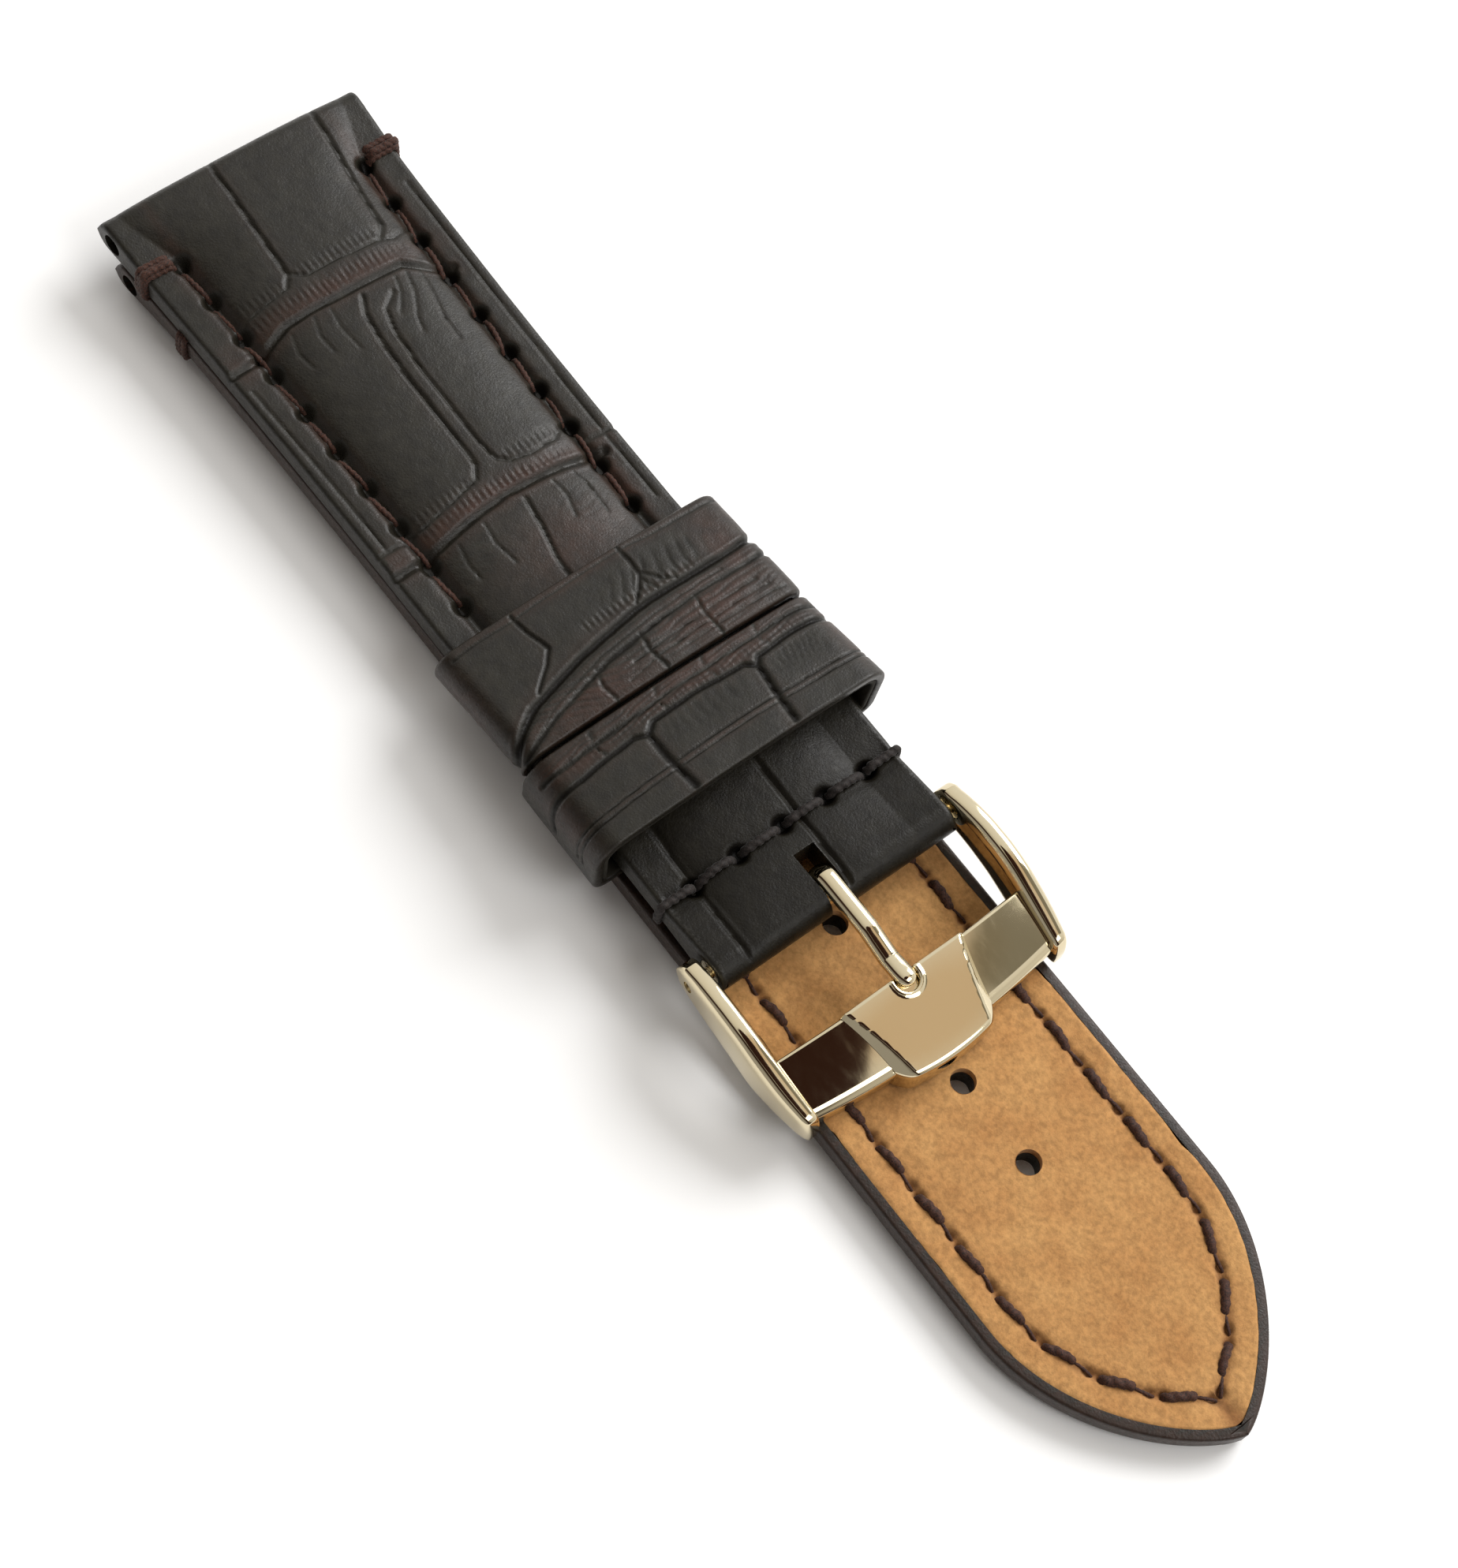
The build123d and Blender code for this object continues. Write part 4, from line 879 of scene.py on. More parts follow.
def tail_creases():
    """Scale rows of the tail piece's face, between its transverse grooves."""
    creases = []
    for index, start in enumerate((8.5, 27.5, 46.5, 66.5, 85.5, 100)):
        bend = 1.2 * (-1) ** index
        creases.append((0.34, 0.34, ((start + 1.2, 9.6), (start, 5), (start - 0.3, 0), (start + 0.2, -5),
                                     (start + 1.5, -9.6))))
        if start < 98:
            creases.append((0.16, 0.2, ((start + 0.4, bend), (start + 8, bend - 0.5),
                                        (start + 16, bend - 0.3), (start + 17.2, bend - 2.5),
                                        (start + 17.4, bend - 6))))
            creases.append((0.16, 0.2, ((start + 1, bend + 0.7), (start + 9, bend + 0.5),
                                        (start + 16.5, bend + 0.8), (start + 17, bend + 3),
                                        (start + 16.6, bend + 6))))
    return {"creases": creases, "ends": (), "ribs": (), "rubbed": ()}


def build_tail_leather(settings, material):
    """Outer leather of the tail piece: rim, walls and padded face, with the pocket for its lining."""
    distance = stations(tail_rows(), hole_rows())
    x = TAIL_START + distance
    across = np.linspace(-1, 1, 75)
    side = tail_inset(distance, EDGE_ROUND)[:, None] * across
    spread = distance[:, None] + 0 * side
    grain = tail_creases()

    def under(d, y):
        """Height of the padded face, which lies down."""
        flange = tail_top(d) - edge_thickness(d)
        lowest = tail_top(d) - FLANGE - tail_pad(d)
        crown = np.maximum(0.5, np.minimum(crown_half(d), tail_inset(d, 3.2)))
        height = flange - (flange - lowest) * swell(y / crown)
        lumps = emboss(d, y, grain, 23)[0] * settings.grain_depth / GRAIN_DEPTH
        height = height - np.minimum(0, lumps) * ease(d / 0.9) * ease((tail_half(d) - np.abs(y)) / 0.8)
        return close_nose(d, height, tail_top(d) - edge_thickness(0) / 2)

    shell = Shell()
    rims_low = punched(shell, spread, side, under, lambda d, y: emboss(d, y, grain, 23)[1])
    face = stack(x[:, None], side, under(spread, side))

    top = tail_top(distance)
    top = close_nose(distance, top, top - edge_thickness(0) / 2)
    turn = quarter(5)
    offset = tunnel_offset(distance, TUNNEL, TUNNEL_RADIUS)
    tunnel_rows = np.flatnonzero(in_tunnel(distance, TUNNEL, TUNNEL_RADIUS))
    half = tail_inset(distance, 0)
    edges = {}
    for sign, column in ((-1, 0), (1, -1)):
        low = face[:, column]
        thick = top - low[:, 2]
        low_r, high_r = np.minimum(EDGE_ROUND, 0.45 * thick), np.minimum(FOOT_ROUND, 0.3 * thick)
        foot = [stack(x, sign * tail_inset(distance, EDGE_ROUND * (1 - np.sin(angle))),
                      low[:, 2] + low_r * (1 - np.cos(angle))) for angle in turn[1:]]
        foot = np.stack([low] + foot, axis=1)
        bottom_wall, top_wall = foot[:, -1, 2], top - high_r
        middle = (bottom_wall + top_wall) / 2
        middle[tunnel_rows] = tail_top(TUNNEL) - edge_thickness(0) / 2
        walls = wall(top_wall[None, :], bottom_wall[None, :], middle[None, :], offset[None, :])
        face_up, face_low = [stack(x[:, None], sign * half[:, None], part) for part in walls]
        crest = np.stack([stack(x, sign * tail_inset(distance, FOOT_ROUND * (1 - np.cos(angle))),
                                top - high_r * (1 - np.sin(angle))) for angle in turn], axis=1)
        rim = np.stack((crest[:, -1], stack(x, sign * tail_inset(distance, POCKET_EDGE), top)), axis=1)
        for part in (foot, face_low, face_up, crest, rim):
            shell.patch(part, np.full(part.shape[:2], 0.5))
        edges[sign] = foot, face_low, face_up, crest, rim
    tunnel_walls(shell, tunnel_rows, edges[-1][2][:, -1], edges[1][2][:, -1], edges[-1][1][:, 0],
                 edges[1][1][:, 0])

    # Solid top before the pocket, then the pocket's floor and walls
    start = nearest(distance, POCKET_START)
    inside = tail_inset(distance, POCKET_EDGE)[:, None] * across
    before, pocket = np.s_[:start + 1], np.s_[start:]
    shell.patch(stack(x[before, None], inside[before], top[before, None]))
    rims_top = punched(shell, spread[pocket], inside[pocket], lambda d, y: tail_top(d) - POCKET_DEPTH)
    for line, axis in ((edges[-1][4][pocket, -1], 1), (edges[1][4][pocket, -1], 1),
                       (stack(x[start], inside[start], top[start]), 0)):
        shell.patch(np.stack((line, line - (0, 0, POCKET_DEPTH)), axis=axis))
    for low, high in zip(rims_low, rims_top):
        shell.patch(hole_wall(low, high), wrap_columns=True)
    left, right = ([part[0] for part in edges[sign]] for sign in (1, -1))
    shell.fan(np.concatenate((face[0], left[0][1:], left[1][::-1], left[2][::-1], left[3],
                              right[3][::-1], right[2], right[1], right[0][::-1])))
    return dress(shell.build("tail_piece_leather", material), "tail_strap", "outer_leather",
                 "tail_upper", "tail_filler", "tail_reinforcement")


def hole_wall(low, high):
    """Wall of a punched hole between its rim below and its rim above."""
    centre = (low[:, :2].max(axis=0) + low[:, :2].min(axis=0)) / 2
    turn = around(32)
    x, y = centre[0] + HOLE_RADIUS * np.cos(turn), centre[1] + HOLE_RADIUS * np.sin(turn)
    return np.stack((stack(x, y, low[:, 2].min()), stack(x, y, high[:, 2].max())), axis=0)


def lining_mark(distance, side):
    """Depth pressed into the tail lining by its seam, and the share to which it is darkened: along the
    pressed seam line, and in the stitch holes as painted shade.
    """
    seam = tail_inset(distance, SEAM_INSET)
    slant = np.clip(1 - 0.045 * (distance - 99), 0.3, 1)
    away = np.abs(np.abs(side) - seam) * slant
    there = ease((distance - 8) / 1.2)
    spots = [spot for sign in (-1, 1) for ends in tail_seam_points(sign) for spot in ends]
    holes = pits(TAIL_START + distance, side, spots, radius=0.4, depth=0.3)
    pucker = 0.5 + 0.5 * uneven(distance, side, 1.1, 47)
    groove = there * (0.14 * np.exp(-(away / 0.3) ** 2) + 0.1 * pucker * np.exp(-(away / 0.9) ** 2))
    # The stitch holes take the pressed colour as painted shade
    shade = np.maximum(0.8 * there * np.exp(-(away / 0.3) ** 2), holes / 0.3)
    return groove + holes, shade


def build_tail_lining(settings, material):
    """Nubuck lining of the tail piece, glued over the pocket with its edge pressed down."""
    rows = stations(np.arange(POCKET_START + 0.05, TAIL_HALF_END - 0.1, 0.3), hole_rows(),
                    TAIL_HALF_END + (TAIL_TIP - 0.9) * np.sin(quarter(70)))
    half = tail_inset(rows, LINING_INSET)
    # Each side is cut by hand, so it wanders on its own
    fade = ease(half / 3)
    right = half + (0.16 * uneven(rows, 0, 3.1, 41) + 0.14 * uneven(rows, 0, 0.9, 42)) * fade
    left = half + (0.16 * uneven(rows, 9, 2.9, 43) + 0.16 * uneven(rows, 9, 0.8, 44)) * fade
    across = np.sin(np.linspace(-pi / 2, pi / 2, 101))
    side = np.where(across < 0, right[:, None], left[:, None]) * across
    spread = rows[:, None] + 0 * side

    def surface(d, y):
        """Height of the buffed face, with its pressed edge and seam."""
        away = tail_inset(d, LINING_INSET) - np.abs(y)
        edge = np.clip(1 - away / 0.35, 0, 1) ** 2 * 0.1
        ends = np.clip(1 - (d - POCKET_START) / 0.4, 0, 1) ** 2 * 0.1
        lumps = 0.03 * uneven(d, y, 2.3, 45) + 0.035 * uneven(d, y, 0.7, 46)
        pressed = lining_mark(d, y)[0] * settings.pressed_depth / PRESSED_DEPTH
        return tail_top(d) + 0.05 + lumps - pressed - edge - ends

    shell = Shell()
    rims_high = punched(shell, spread, side, surface, lambda d, y: lining_mark(d, y)[1])
    rims_low = punched(shell, spread, side, lambda d, y: tail_top(d) - LINING_FOOT)
    for low, high in zip(rims_low, rims_high):
        shell.patch(hole_wall(low, high), wrap_columns=True)
    high = stack(TAIL_START + spread, side, surface(spread, side))
    low = stack(TAIL_START + spread, side, tail_top(spread) - LINING_FOOT)
    for cut in (np.s_[0], np.s_[:, 0], np.s_[:, -1]):
        shell.patch(np.stack((high[cut], low[cut]), axis=0))
    dress(shell.build("tail_piece_lining", material), "tail_strap", "lining_leather", "tail_lining")


# Thread
def thread_tube(shell, path, radius, turn_length=1.0):
    """Adds a two-ply waxed thread along a path of points. Its plies turn once in turn_length millimetres."""
    length = run_length(path)[-1]
    spots = np.linspace(0, length, max(8, int(length / 0.11)))
    line, ahead = follow(path, spots)
    side = np.cross(ahead[0], (0.1, 0.2, 1))
    sides = []
    for direction in ahead:
        side = side - direction * np.dot(side, direction)
        side = side / np.linalg.norm(side)
        sides.append(side)
    sides = np.array(sides)
    up = np.cross(ahead, sides)
    angle = around(12)
    twist = (2 * pi * spots / turn_length)[:, None]
    reach = radius * (0.74 + 0.26 * np.abs(np.cos(angle - twist)))
    reach = reach * (1 + 0.07 * uneven(spots * 3, 0, 0.5, 61)[:, None])
    shell.tube(line[:, None] + sides[:, None] * (reach * np.cos(angle))[..., None]
               + up[:, None] * (reach * np.sin(angle))[..., None])


def stitch_path(start, end, height, sink, rise, bow=0.0):
    """Path of a stitch from one hole to the next: up, over the surface and down again."""
    (ax, ay), (bx, by) = start, end
    share = np.linspace(0, 1, 24)
    x, y = ax + (bx - ax) * share, ay + (by - ay) * share
    length = hypot(bx - ax, by - ay)
    side = bow * np.sin(pi * share)
    x, y = x - side * (by - ay) / length, y + side * (bx - ax) / length
    surface = height(x, y)
    flat = surface[0] + (surface[-1] - surface[0]) * share
    over = np.maximum(surface, flat - 0.05)
    arch = np.sin(pi * share) ** 0.45
    return stack(x, y, over - sink * (1 - arch) + rise * arch)


def thread_radius(settings):
    """Radius of the waxed thread in millimetres."""
    return settings.thread_width / MM / 2


def buckle_height(x, y):
    """Height of the buckle piece's top under a stitch, which flattens the grain."""
    distance = x - BUCKLE_START
    return buckle_top(distance, y) + buckle_relief(distance, y, 1.0)[0] * 0.4


def build_buckle_seams(settings, material):
    """Saddle stitches down both edges of the buckle piece."""
    rng = np.random.default_rng(71)
    radius = thread_radius(settings)
    for sign, name in ((1, "left"), (-1, "right")):
        shell = Shell()
        for (ax, ay), (bx, by) in zip(side_holes(sign), side_holes(sign)[1:]):
            lean = 0.16 * sign + rng.uniform(-0.06, 0.06)
            path = stitch_path((BUCKLE_START + ax + rng.uniform(0.4, 0.7), ay + lean),
                               (BUCKLE_START + bx - rng.uniform(0.3, 0.6), by - lean),
                               buckle_height, sink=0.6, rise=rng.uniform(-0.3, -0.12),
                               bow=rng.uniform(-0.1, 0.1))
            thread_tube(shell, path, radius * rng.uniform(0.6, 0.8))
        dress(shell.build("seam_thread_" + name, material), "buckle_strap", "thread",
              "buckle_side_seam_" + name)


def edge_wrap(sign, distance, top, bottom, half, reach, lean=0.0):
    """Path of a thread from the top hole over the strap's edge to the hole underneath."""
    turn = np.linspace(0, pi, 18)
    middle, tall = (top + bottom) / 2, (top - bottom) / 2
    start = [(distance, half - reach, top - 0.35), (distance, half - reach * 0.85, top + 0.1)]
    arc = [(distance + lean * t / pi, half + 0.14 * sin(t), middle + (tall + 0.16) * cos(t)) for t in turn]
    end = [(distance + lean, half - reach * 0.85, bottom - 0.1),
           (distance + lean, half - reach, bottom + 0.3)]
    return np.array(start + arc + end) * (1, sign, 1) + (BUCKLE_START, 0, 0)


def build_cross_seam(settings, material):
    """Row of stitches across the strap in front of the buckle, with a loop over each edge."""
    radius = thread_radius(settings) * 1.05
    shell = Shell()
    rng = np.random.default_rng(72)
    for index in (-2, -1, 0, 1):
        start = (BUCKLE_START + CROSS_SEAM, CROSS_PITCH * index + 0.4)
        end = (BUCKLE_START + CROSS_SEAM, CROSS_PITCH * (index + 1) - 0.4)
        path = stitch_path(start, end, buckle_height, sink=0.55, rise=0.16, bow=rng.uniform(-0.1, 0.1))
        thread_tube(shell, path, radius, turn_length=1.2)
    half = float(half_width(CROSS_SEAM))
    top = float(buckle_top(np.array(CROSS_SEAM), np.array(half - 0.5)))
    low = float(buckle_bottom(np.array(CROSS_SEAM)))
    for sign in (-1, 1):
        path = edge_wrap(sign, CROSS_SEAM, top, low, half, reach=2.6)
        thread_tube(shell, path, radius, turn_length=1.2)
    dress(shell.build("cross_seam_thread", material), "buckle_strap", "thread", "buckle_side_cross_seam")


def build_lug_tacks(settings, material):
    """Threads wound over both edges of the buckle piece at its lug end: three side by side, one over them."""
    radius = thread_radius(settings) * 0.95
    shell = Shell()
    rng = np.random.default_rng(73)
    for sign in (-1, 1):
        for place, rise, out in ((-0.55, -0.08, 0), (-0.15, -0.08, 0), (0.28, -0.08, 0), (0.1, 0.3, 0.12)):
            distance = SEAM_START - 0.45 + place
            half = float(half_width(distance))
            top = float(buckle_top(np.array(distance), np.array(half - 0.5))) + rise
            path = edge_wrap(sign, distance, top, float(base(distance)), half + out, reach=2.3,
                             lean=rng.uniform(-0.2, 0.2))
            thread_tube(shell, path, radius * rng.uniform(0.9, 1.1))
    dress(shell.build("buckle_piece_lug_tacks", material), "buckle_strap", "thread", "buckle_side_lug_tacks")


def tail_lining_height(x, y):
    """Height of the tail lining under a stitch, the same right across the piece."""
    return tail_top(x - TAIL_START) - 0.08


def tail_face_depth(x, y):
    """Depth of the tail piece's edge on the face that lies down, for stitches that lie on their back."""
    return -(tail_top(x - TAIL_START) - FLANGE)


def build_tail_threads(settings, material):
    """Stitches round the tail piece on both of its faces, and its tacks at the lug end."""
    radius = thread_radius(settings)
    rng = np.random.default_rng(74)
    shell = Shell()
    for sign in (-1, 1):
        for start, end in tail_seam_points(sign):
            way = np.subtract(end, start) / hypot(*np.subtract(end, start))
            lean = np.array((-way[1], way[0])) * 0.12 * sign
            # A stitch on the lining, then its thin end that dips under the next one
            a, b = np.array(start) + way * 0.1 + lean, np.array(end) - way * 1.15 - lean
            path = stitch_path(a, b, tail_lining_height, sink=0.3, rise=0.12, bow=rng.uniform(-0.12, 0.12))
            thread_tube(shell, path, radius * rng.uniform(0.98, 1.18), turn_length=1.4)
            a, b = b - way * 0.1 + lean * 0.5, b + way * 1.4 + lean * 2
            path = stitch_path(a, b, tail_lining_height, sink=0.25, rise=-0.05,
                               bow=rng.uniform(-0.06, 0.06))
            thread_tube(shell, path, radius * rng.uniform(0.34, 0.46), turn_length=0.8)
            path = stitch_path(start, end, tail_face_depth, sink=0.3, rise=0.02) * (1, 1, -1)
            thread_tube(shell, path, radius * 0.85, turn_length=1.3)
    dress(shell.build("tail_seam_thread", material), "tail_strap", "thread", "tail_seam")
    shell = Shell()
    for sign in (-1, 1):
        for distance in (TAIL_TACKS - 0.33, TAIL_TACKS, TAIL_TACKS + 0.33):
            top = float(tail_top(distance))
            path = edge_wrap(sign, distance, top + 0.05, top - float(edge_thickness(distance)),
                             float(half_width(distance)), reach=2.3, lean=rng.uniform(-0.15, 0.15))
            thread_tube(shell, path + (TAIL_START - BUCKLE_START, 0, 0), radius * 0.8)
    dress(shell.build("tail_piece_lug_tacks", material), "tail_strap", "thread", "tail_lug_tacks")


# Keepers
FIXED_GRAIN = {
    "creases": (
        (0.30, 0.34, ((47.3, 13), (47.5, 7.8), (47.6, 1.2), (48.4, -3.8), (49.8, -9.0), (51.9, -12.6),
                      (52.4, -15))),
        (0.13, 0.18, ((42.4, 3.2), (44, 3.3), (45.5, 3.2), (46.4, 2.5), (47.2, 1.6))),
        (0.09, 0.15, ((45.3, 3.2), (46.6, 4.2), (47.2, 5.2))),
        (0.08, 0.14, ((45.8, 3.0), (46.9, 3.4), (47.4, 3.6))),
        (0.08, 0.14, ((43.3, 11.5), (43.1, 4), (43.2, -4), (43.5, -11))),
        (0.13, 0.18, ((42.9, -5.9), (44.8, -5.8), (46.5, -5.5), (47.6, -6.4), (49.0, -8.0))),
        (0.16, 0.24, ((48.9, 13), (49.0, 8), (49.2, 2), (49.9, -3), (51.2, -8.2), (52.6, -12))),
        (0.10, 0.16, ((50.4, 9.5), (50.5, 3.5), (50.9, -1.5))),
        (0.07, 0.10, ((47.9, 9), (48.1, 2), (48.8, -3.4), (50.1, -8.4), (51.6, -11.5))),
        (0.07, 0.10, ((48.4, 8), (48.6, 2), (49.3, -3.2), (50.6, -7.9), (52.1, -11))),
        (0.08, 0.11, ((51.2, 10), (51.2, 5), (51.4, 1), (51.9, -2.6))),
        (0.08, 0.11, ((51.9, 11), (51.8, 6), (51.9, 2.4))),
        (0.12, 0.18, ((49.1, 5.2), (50.5, 4.8), (52.6, 4.9))),
        (0.12, 0.18, ((49.3, 0.2), (50.8, -0.1), (52.6, 0.2))),
        (0.10, 0.16, ((49.9, -3.9), (51.2, -4.4), (52.6, -4.2))),
    ),
    "ends": ((46.7, -3, 7, 0.4),),
    "ribs": ((0.10, 0.50, 4, 50.6, 4.5, 1.9, 6.5), (0.08, 0.5, -20, 50.9, -5.5, 1.6, 5.5),
             (0.05, 0.9, 70, 45.6, 4.5, 1.4, 4.5)),
    "rubbed": ((0.95, 50.4, 5.5, 2.4, 5.5), (0.8, 51.4, -5, 1.6, 6), (0.7, 47.6, 9.5, 4.5, 1.6),
               (0.6, 44.5, 12.6, 2.5, 1.6), (0.6, 46, -12.8, 4, 1.4), (0.5, 43.1, 0, 0.5, 11)),
}
FREE_GRAIN = {
    "creases": (
        (0.16, 0.24, ((54.0, 12), (53.9, 5), (54.1, 0), (54.2, -6), (54.6, -12))),
        (0.22, 0.26, ((55.4, 13), (55.2, 8.2), (55.3, 5.6), (55.9, 5.1), (57.5, 4.9), (60.9, 4.3))),
        (0.20, 0.26, ((55.9, 5.1), (55.3, 4.3), (55.2, 0.4), (55.3, -3.3), (56.0, -4.2), (58, -4.3),
                      (61, -4.2))),
        (0.18, 0.24, ((56.0, -4.2), (55.5, -5.2), (55.7, -8), (56.2, -12), (56.8, -15))),
        (0.10, 0.12, ((58.9, 15), (58.7, 8), (58.6, 0), (58.8, -8), (59.3, -15))),
        (0.10, 0.12, ((59.4, 15), (59.2, 8), (59.1, 0), (59.3, -8), (59.8, -15))),
        (0.10, 0.15, ((53.1, 7.0), (54.2, 6.6), (55.2, 6.9))),
        (0.10, 0.15, ((53.1, 2.4), (54.1, 2.1), (55.2, 2.5))),
        (0.10, 0.15, ((53.2, -1.6), (54.3, -2.1), (55.2, -1.8))),
        (0.10, 0.15, ((53.4, -7.2), (54.6, -7.6), (55.7, -7.2))),
    ),
    "ends": ((54.7, -11, 11, 0.5),),
    "ribs": ((0.06, 0.5, 75, 56.6, 8.2, 1.0, 2.6), (0.09, 0.42, 5, 54.1, 0, 1.0, 12),
             (0.04, 0.8, 80, 56.4, 0, 1.0, 3.5)),
    "rubbed": ((0.95, 54.0, 2, 1.2, 10), (0.7, 54.4, -9, 1.2, 4), (0.7, 57, 12.6, 3.5, 1.5),
               (0.6, 57.5, -12.8, 3, 1.3), (0.4, 59.0, 0, 0.4, 12)),
}


def corner_arc(before, corner_point, after, radius):
    """Points of a round corner between two straight runs."""
    a, b = np.subtract(before, corner_point), np.subtract(after, corner_point)
    a, b = a / np.linalg.norm(a), b / np.linalg.norm(b)
    half_angle = np.arccos(np.clip(np.dot(a, b), -1, 1)) / 2
    leg = radius / np.tan(half_angle)
    share = np.linspace(0, 1, 9)[:, None]
    low, mid, high = (1 - share) ** 2, 2 * np.sin(half_angle) * share * (1 - share), share ** 2
    start, end = corner_point + a * leg, corner_point + b * leg
    return (low * start + mid * np.asarray(corner_point) + high * end) / (low + mid + high)


def keeper_outline(low_half, high_half, bottom, shoulder, crown, low_radius, high_radius, foot_half):
    """Outline of a keeper from its foot on one side, over the top, to the foot on the other side.

    Returns its points, their outward directions and the distance of each from the middle of the top.
    """
    rise = crown - shoulder
    radius = (rise ** 2 + high_half ** 2) / (2 * rise)
    low_corner, high_corner = np.array((low_half, bottom)), np.array((high_half, shoulder))
    over = np.array((high_half - 2.0, crown - radius + sqrt(radius ** 2 - (high_half - 2.0) ** 2)))
    upper = corner_arc(low_corner, high_corner, over, high_radius)
    across = np.linspace(upper[-1][0], -upper[-1][0], 40)[1:-1]
    top = np.stack((across, crown - radius + np.sqrt(radius ** 2 - across ** 2)), axis=1)
    lower = corner_arc((0, bottom), low_corner, high_corner, low_radius)
    half = np.concatenate(([(foot_half, bottom)], lower, upper))
    points = np.concatenate((half, top, half[::-1] * (-1, 1)))
    length = run_length(points)[-1]
    spots = np.linspace(0, length, OUTLINE_COUNT)
    line, ahead = follow(points, spots)
    # The outline runs from +Y over the top to -Y, so its outward side is on the right of its run
    outward = np.stack((-ahead[:, 1], ahead[:, 0]), axis=1)
    outward *= -1 if outward[OUTLINE_COUNT // 2][1] < 0 else 1
    return line, outward, length / 2 - spots


def band_ring(start, end, outer, inner, radius, columns):
    """Cross section of a keeper's band: places along X and their depths from the outline."""
    turn = quarter(6)[1:]
    bend, drop = radius * np.sin(turn), radius * (1 - np.cos(turn))
    middle = (outer + inner) / 2
    along = np.concatenate((np.linspace(start + radius, end - radius, columns), end - radius + bend,
                            [end, end, end - 0.1], np.linspace(end - 0.1, start + 0.1, 12)[1:-1],
                            [start + 0.1, start, start], start + radius - bend[::-1]))
    depth = np.concatenate((np.full(columns, outer), outer - drop, [middle, inner + 0.1, inner],
                            np.full(10, inner), [inner, inner + 0.1, middle], outer - drop[::-1]))
    return along, depth


def keeper_mesh(name, material, section, start, end, outer, inner, radius, columns, closed, grain=None,
                depth=1.0):
    """Makes one layer of a keeper: its band section swept along the keeper's outline."""
    places = np.arange(OUTLINE_COUNT)
    ends = ease((OUTLINE_COUNT - 1 - np.abs(2 * places - OUTLINE_COUNT + 1)) / 12)
    grid, rub = [], []
    for place, offset in zip(*band_ring(start, end, outer, inner, radius, columns)):
        line, outward, arc = section(place)
        shift, shade = np.full(OUTLINE_COUNT, offset), np.zeros(OUTLINE_COUNT)
        if grain:
            height, brown = emboss(np.full(OUTLINE_COUNT, place), arc, grain, 51)
            edge = ease(min(place - start, end - place) / 0.35) * (offset > outer - 0.02)
            shift = shift + height * depth * (edge if closed else edge * ends)
            shade = brown * (offset > inner + 0.2)
        grid.append(stack(BUCKLE_START + place, *(line + outward * shift[:, None]).T))
        rub.append(shade)
    grid = np.array(grid)
    shell = Shell()
    shell.patch(grid, np.array(rub), wrap_rows=True)
    if closed:
        shell.patch(np.stack((grid[:, -1], grid[:, 0]), axis=1), wrap_rows=True)
    else:
        shell.fan(grid[:, 0])
        shell.fan(grid[:, -1])
    return shell.build(name, material)


def fixed_section(place):
    """Outline of the fixed keeper, which follows the buckle piece."""
    low = float(base(place))
    sway = 0.12 * float(uneven(place, 3, 4.0, 52))
    return keeper_outline(low_half=12.12, high_half=11.85, bottom=low + 0.5, shoulder=low + 3.45 + sway,
                          crown=low + 4.05 + sway, low_radius=1.3, high_radius=1.6,
                          foot_half=float(half_width(place)) + 0.04)


def free_section(place):
    """Outline of the free keeper, taller at the end near the buckle."""
    share = (place - FREE_START) / (FREE_END - FREE_START)
    low = corner("free_keeper", 0, 2)
    return keeper_outline(low_half=12.15, high_half=12.3 + 0.3 * share, bottom=low,
                          shoulder=low + 4.8 + 1.5 * share, crown=low + 5.4 + 1.6 * share, low_radius=1.3,
                          high_radius=2.3, foot_half=0.02)


def build_keepers(settings, leather, lining):
    """Both keepers and their linings."""
    depth = settings.grain_depth / GRAIN_DEPTH
    outside = {"outer": 0, "inner": -KEEPER_LEATHER, "columns": 84, "depth": depth}
    inside = {"outer": -KEEPER_LEATHER - 0.02, "inner": -KEEPER_LEATHER - KEEPER_LINING, "columns": 12,
              "radius": 0.15}
    dress(keeper_mesh("fixed_keeper_leather", leather, fixed_section, FIXED_START, FIXED_END, closed=False,
                      radius=0.3, grain=FIXED_GRAIN, **outside),
          "buckle_strap", "outer_leather", "fixed_keeper")
    dress(keeper_mesh("free_keeper_leather", leather, free_section, FREE_START, FREE_END, closed=True,
                      radius=0.25, grain=FREE_GRAIN, **outside),
          "sliding_keeper", "outer_leather", "free_keeper")
    dress(keeper_mesh("fixed_keeper_inside", lining, fixed_section, FIXED_START + 0.1, FIXED_END - 0.1,
                      closed=False, **inside),
          "buckle_strap", "keeper_lining_leather", "fixed_keeper_lining")
    dress(keeper_mesh("free_keeper_inside", lining, free_section, FREE_START + 0.08, FREE_END - 0.08,
                      closed=True, **inside),
          "sliding_keeper", "keeper_lining_leather", "free_keeper_lining")


# Steel
def squared(share, power):
    """Sine or cosine of a ring's angles, pushed out by a power below 1 to make the ring squarer."""
    return np.sign(share) * np.abs(share) ** power


def paint_node(name, material):
    """Gives a CAD node its own material."""
    shape = bpy.data.objects[name].data
    shape.materials.clear()
    shape.materials.append(material)


def steel_section(half_wide, top, bottom, top_power, bottom_power):
    """Ring of a rounded bar's cross section: across and up, in millimetres."""
    turn = around(40)
    power = np.where(np.sin(turn) > 0, top_power, bottom_power)
    across = half_wide * squared(np.cos(turn), power)
    return across, (top + bottom) / 2 + (top - bottom) / 2 * squared(np.sin(turn), power)


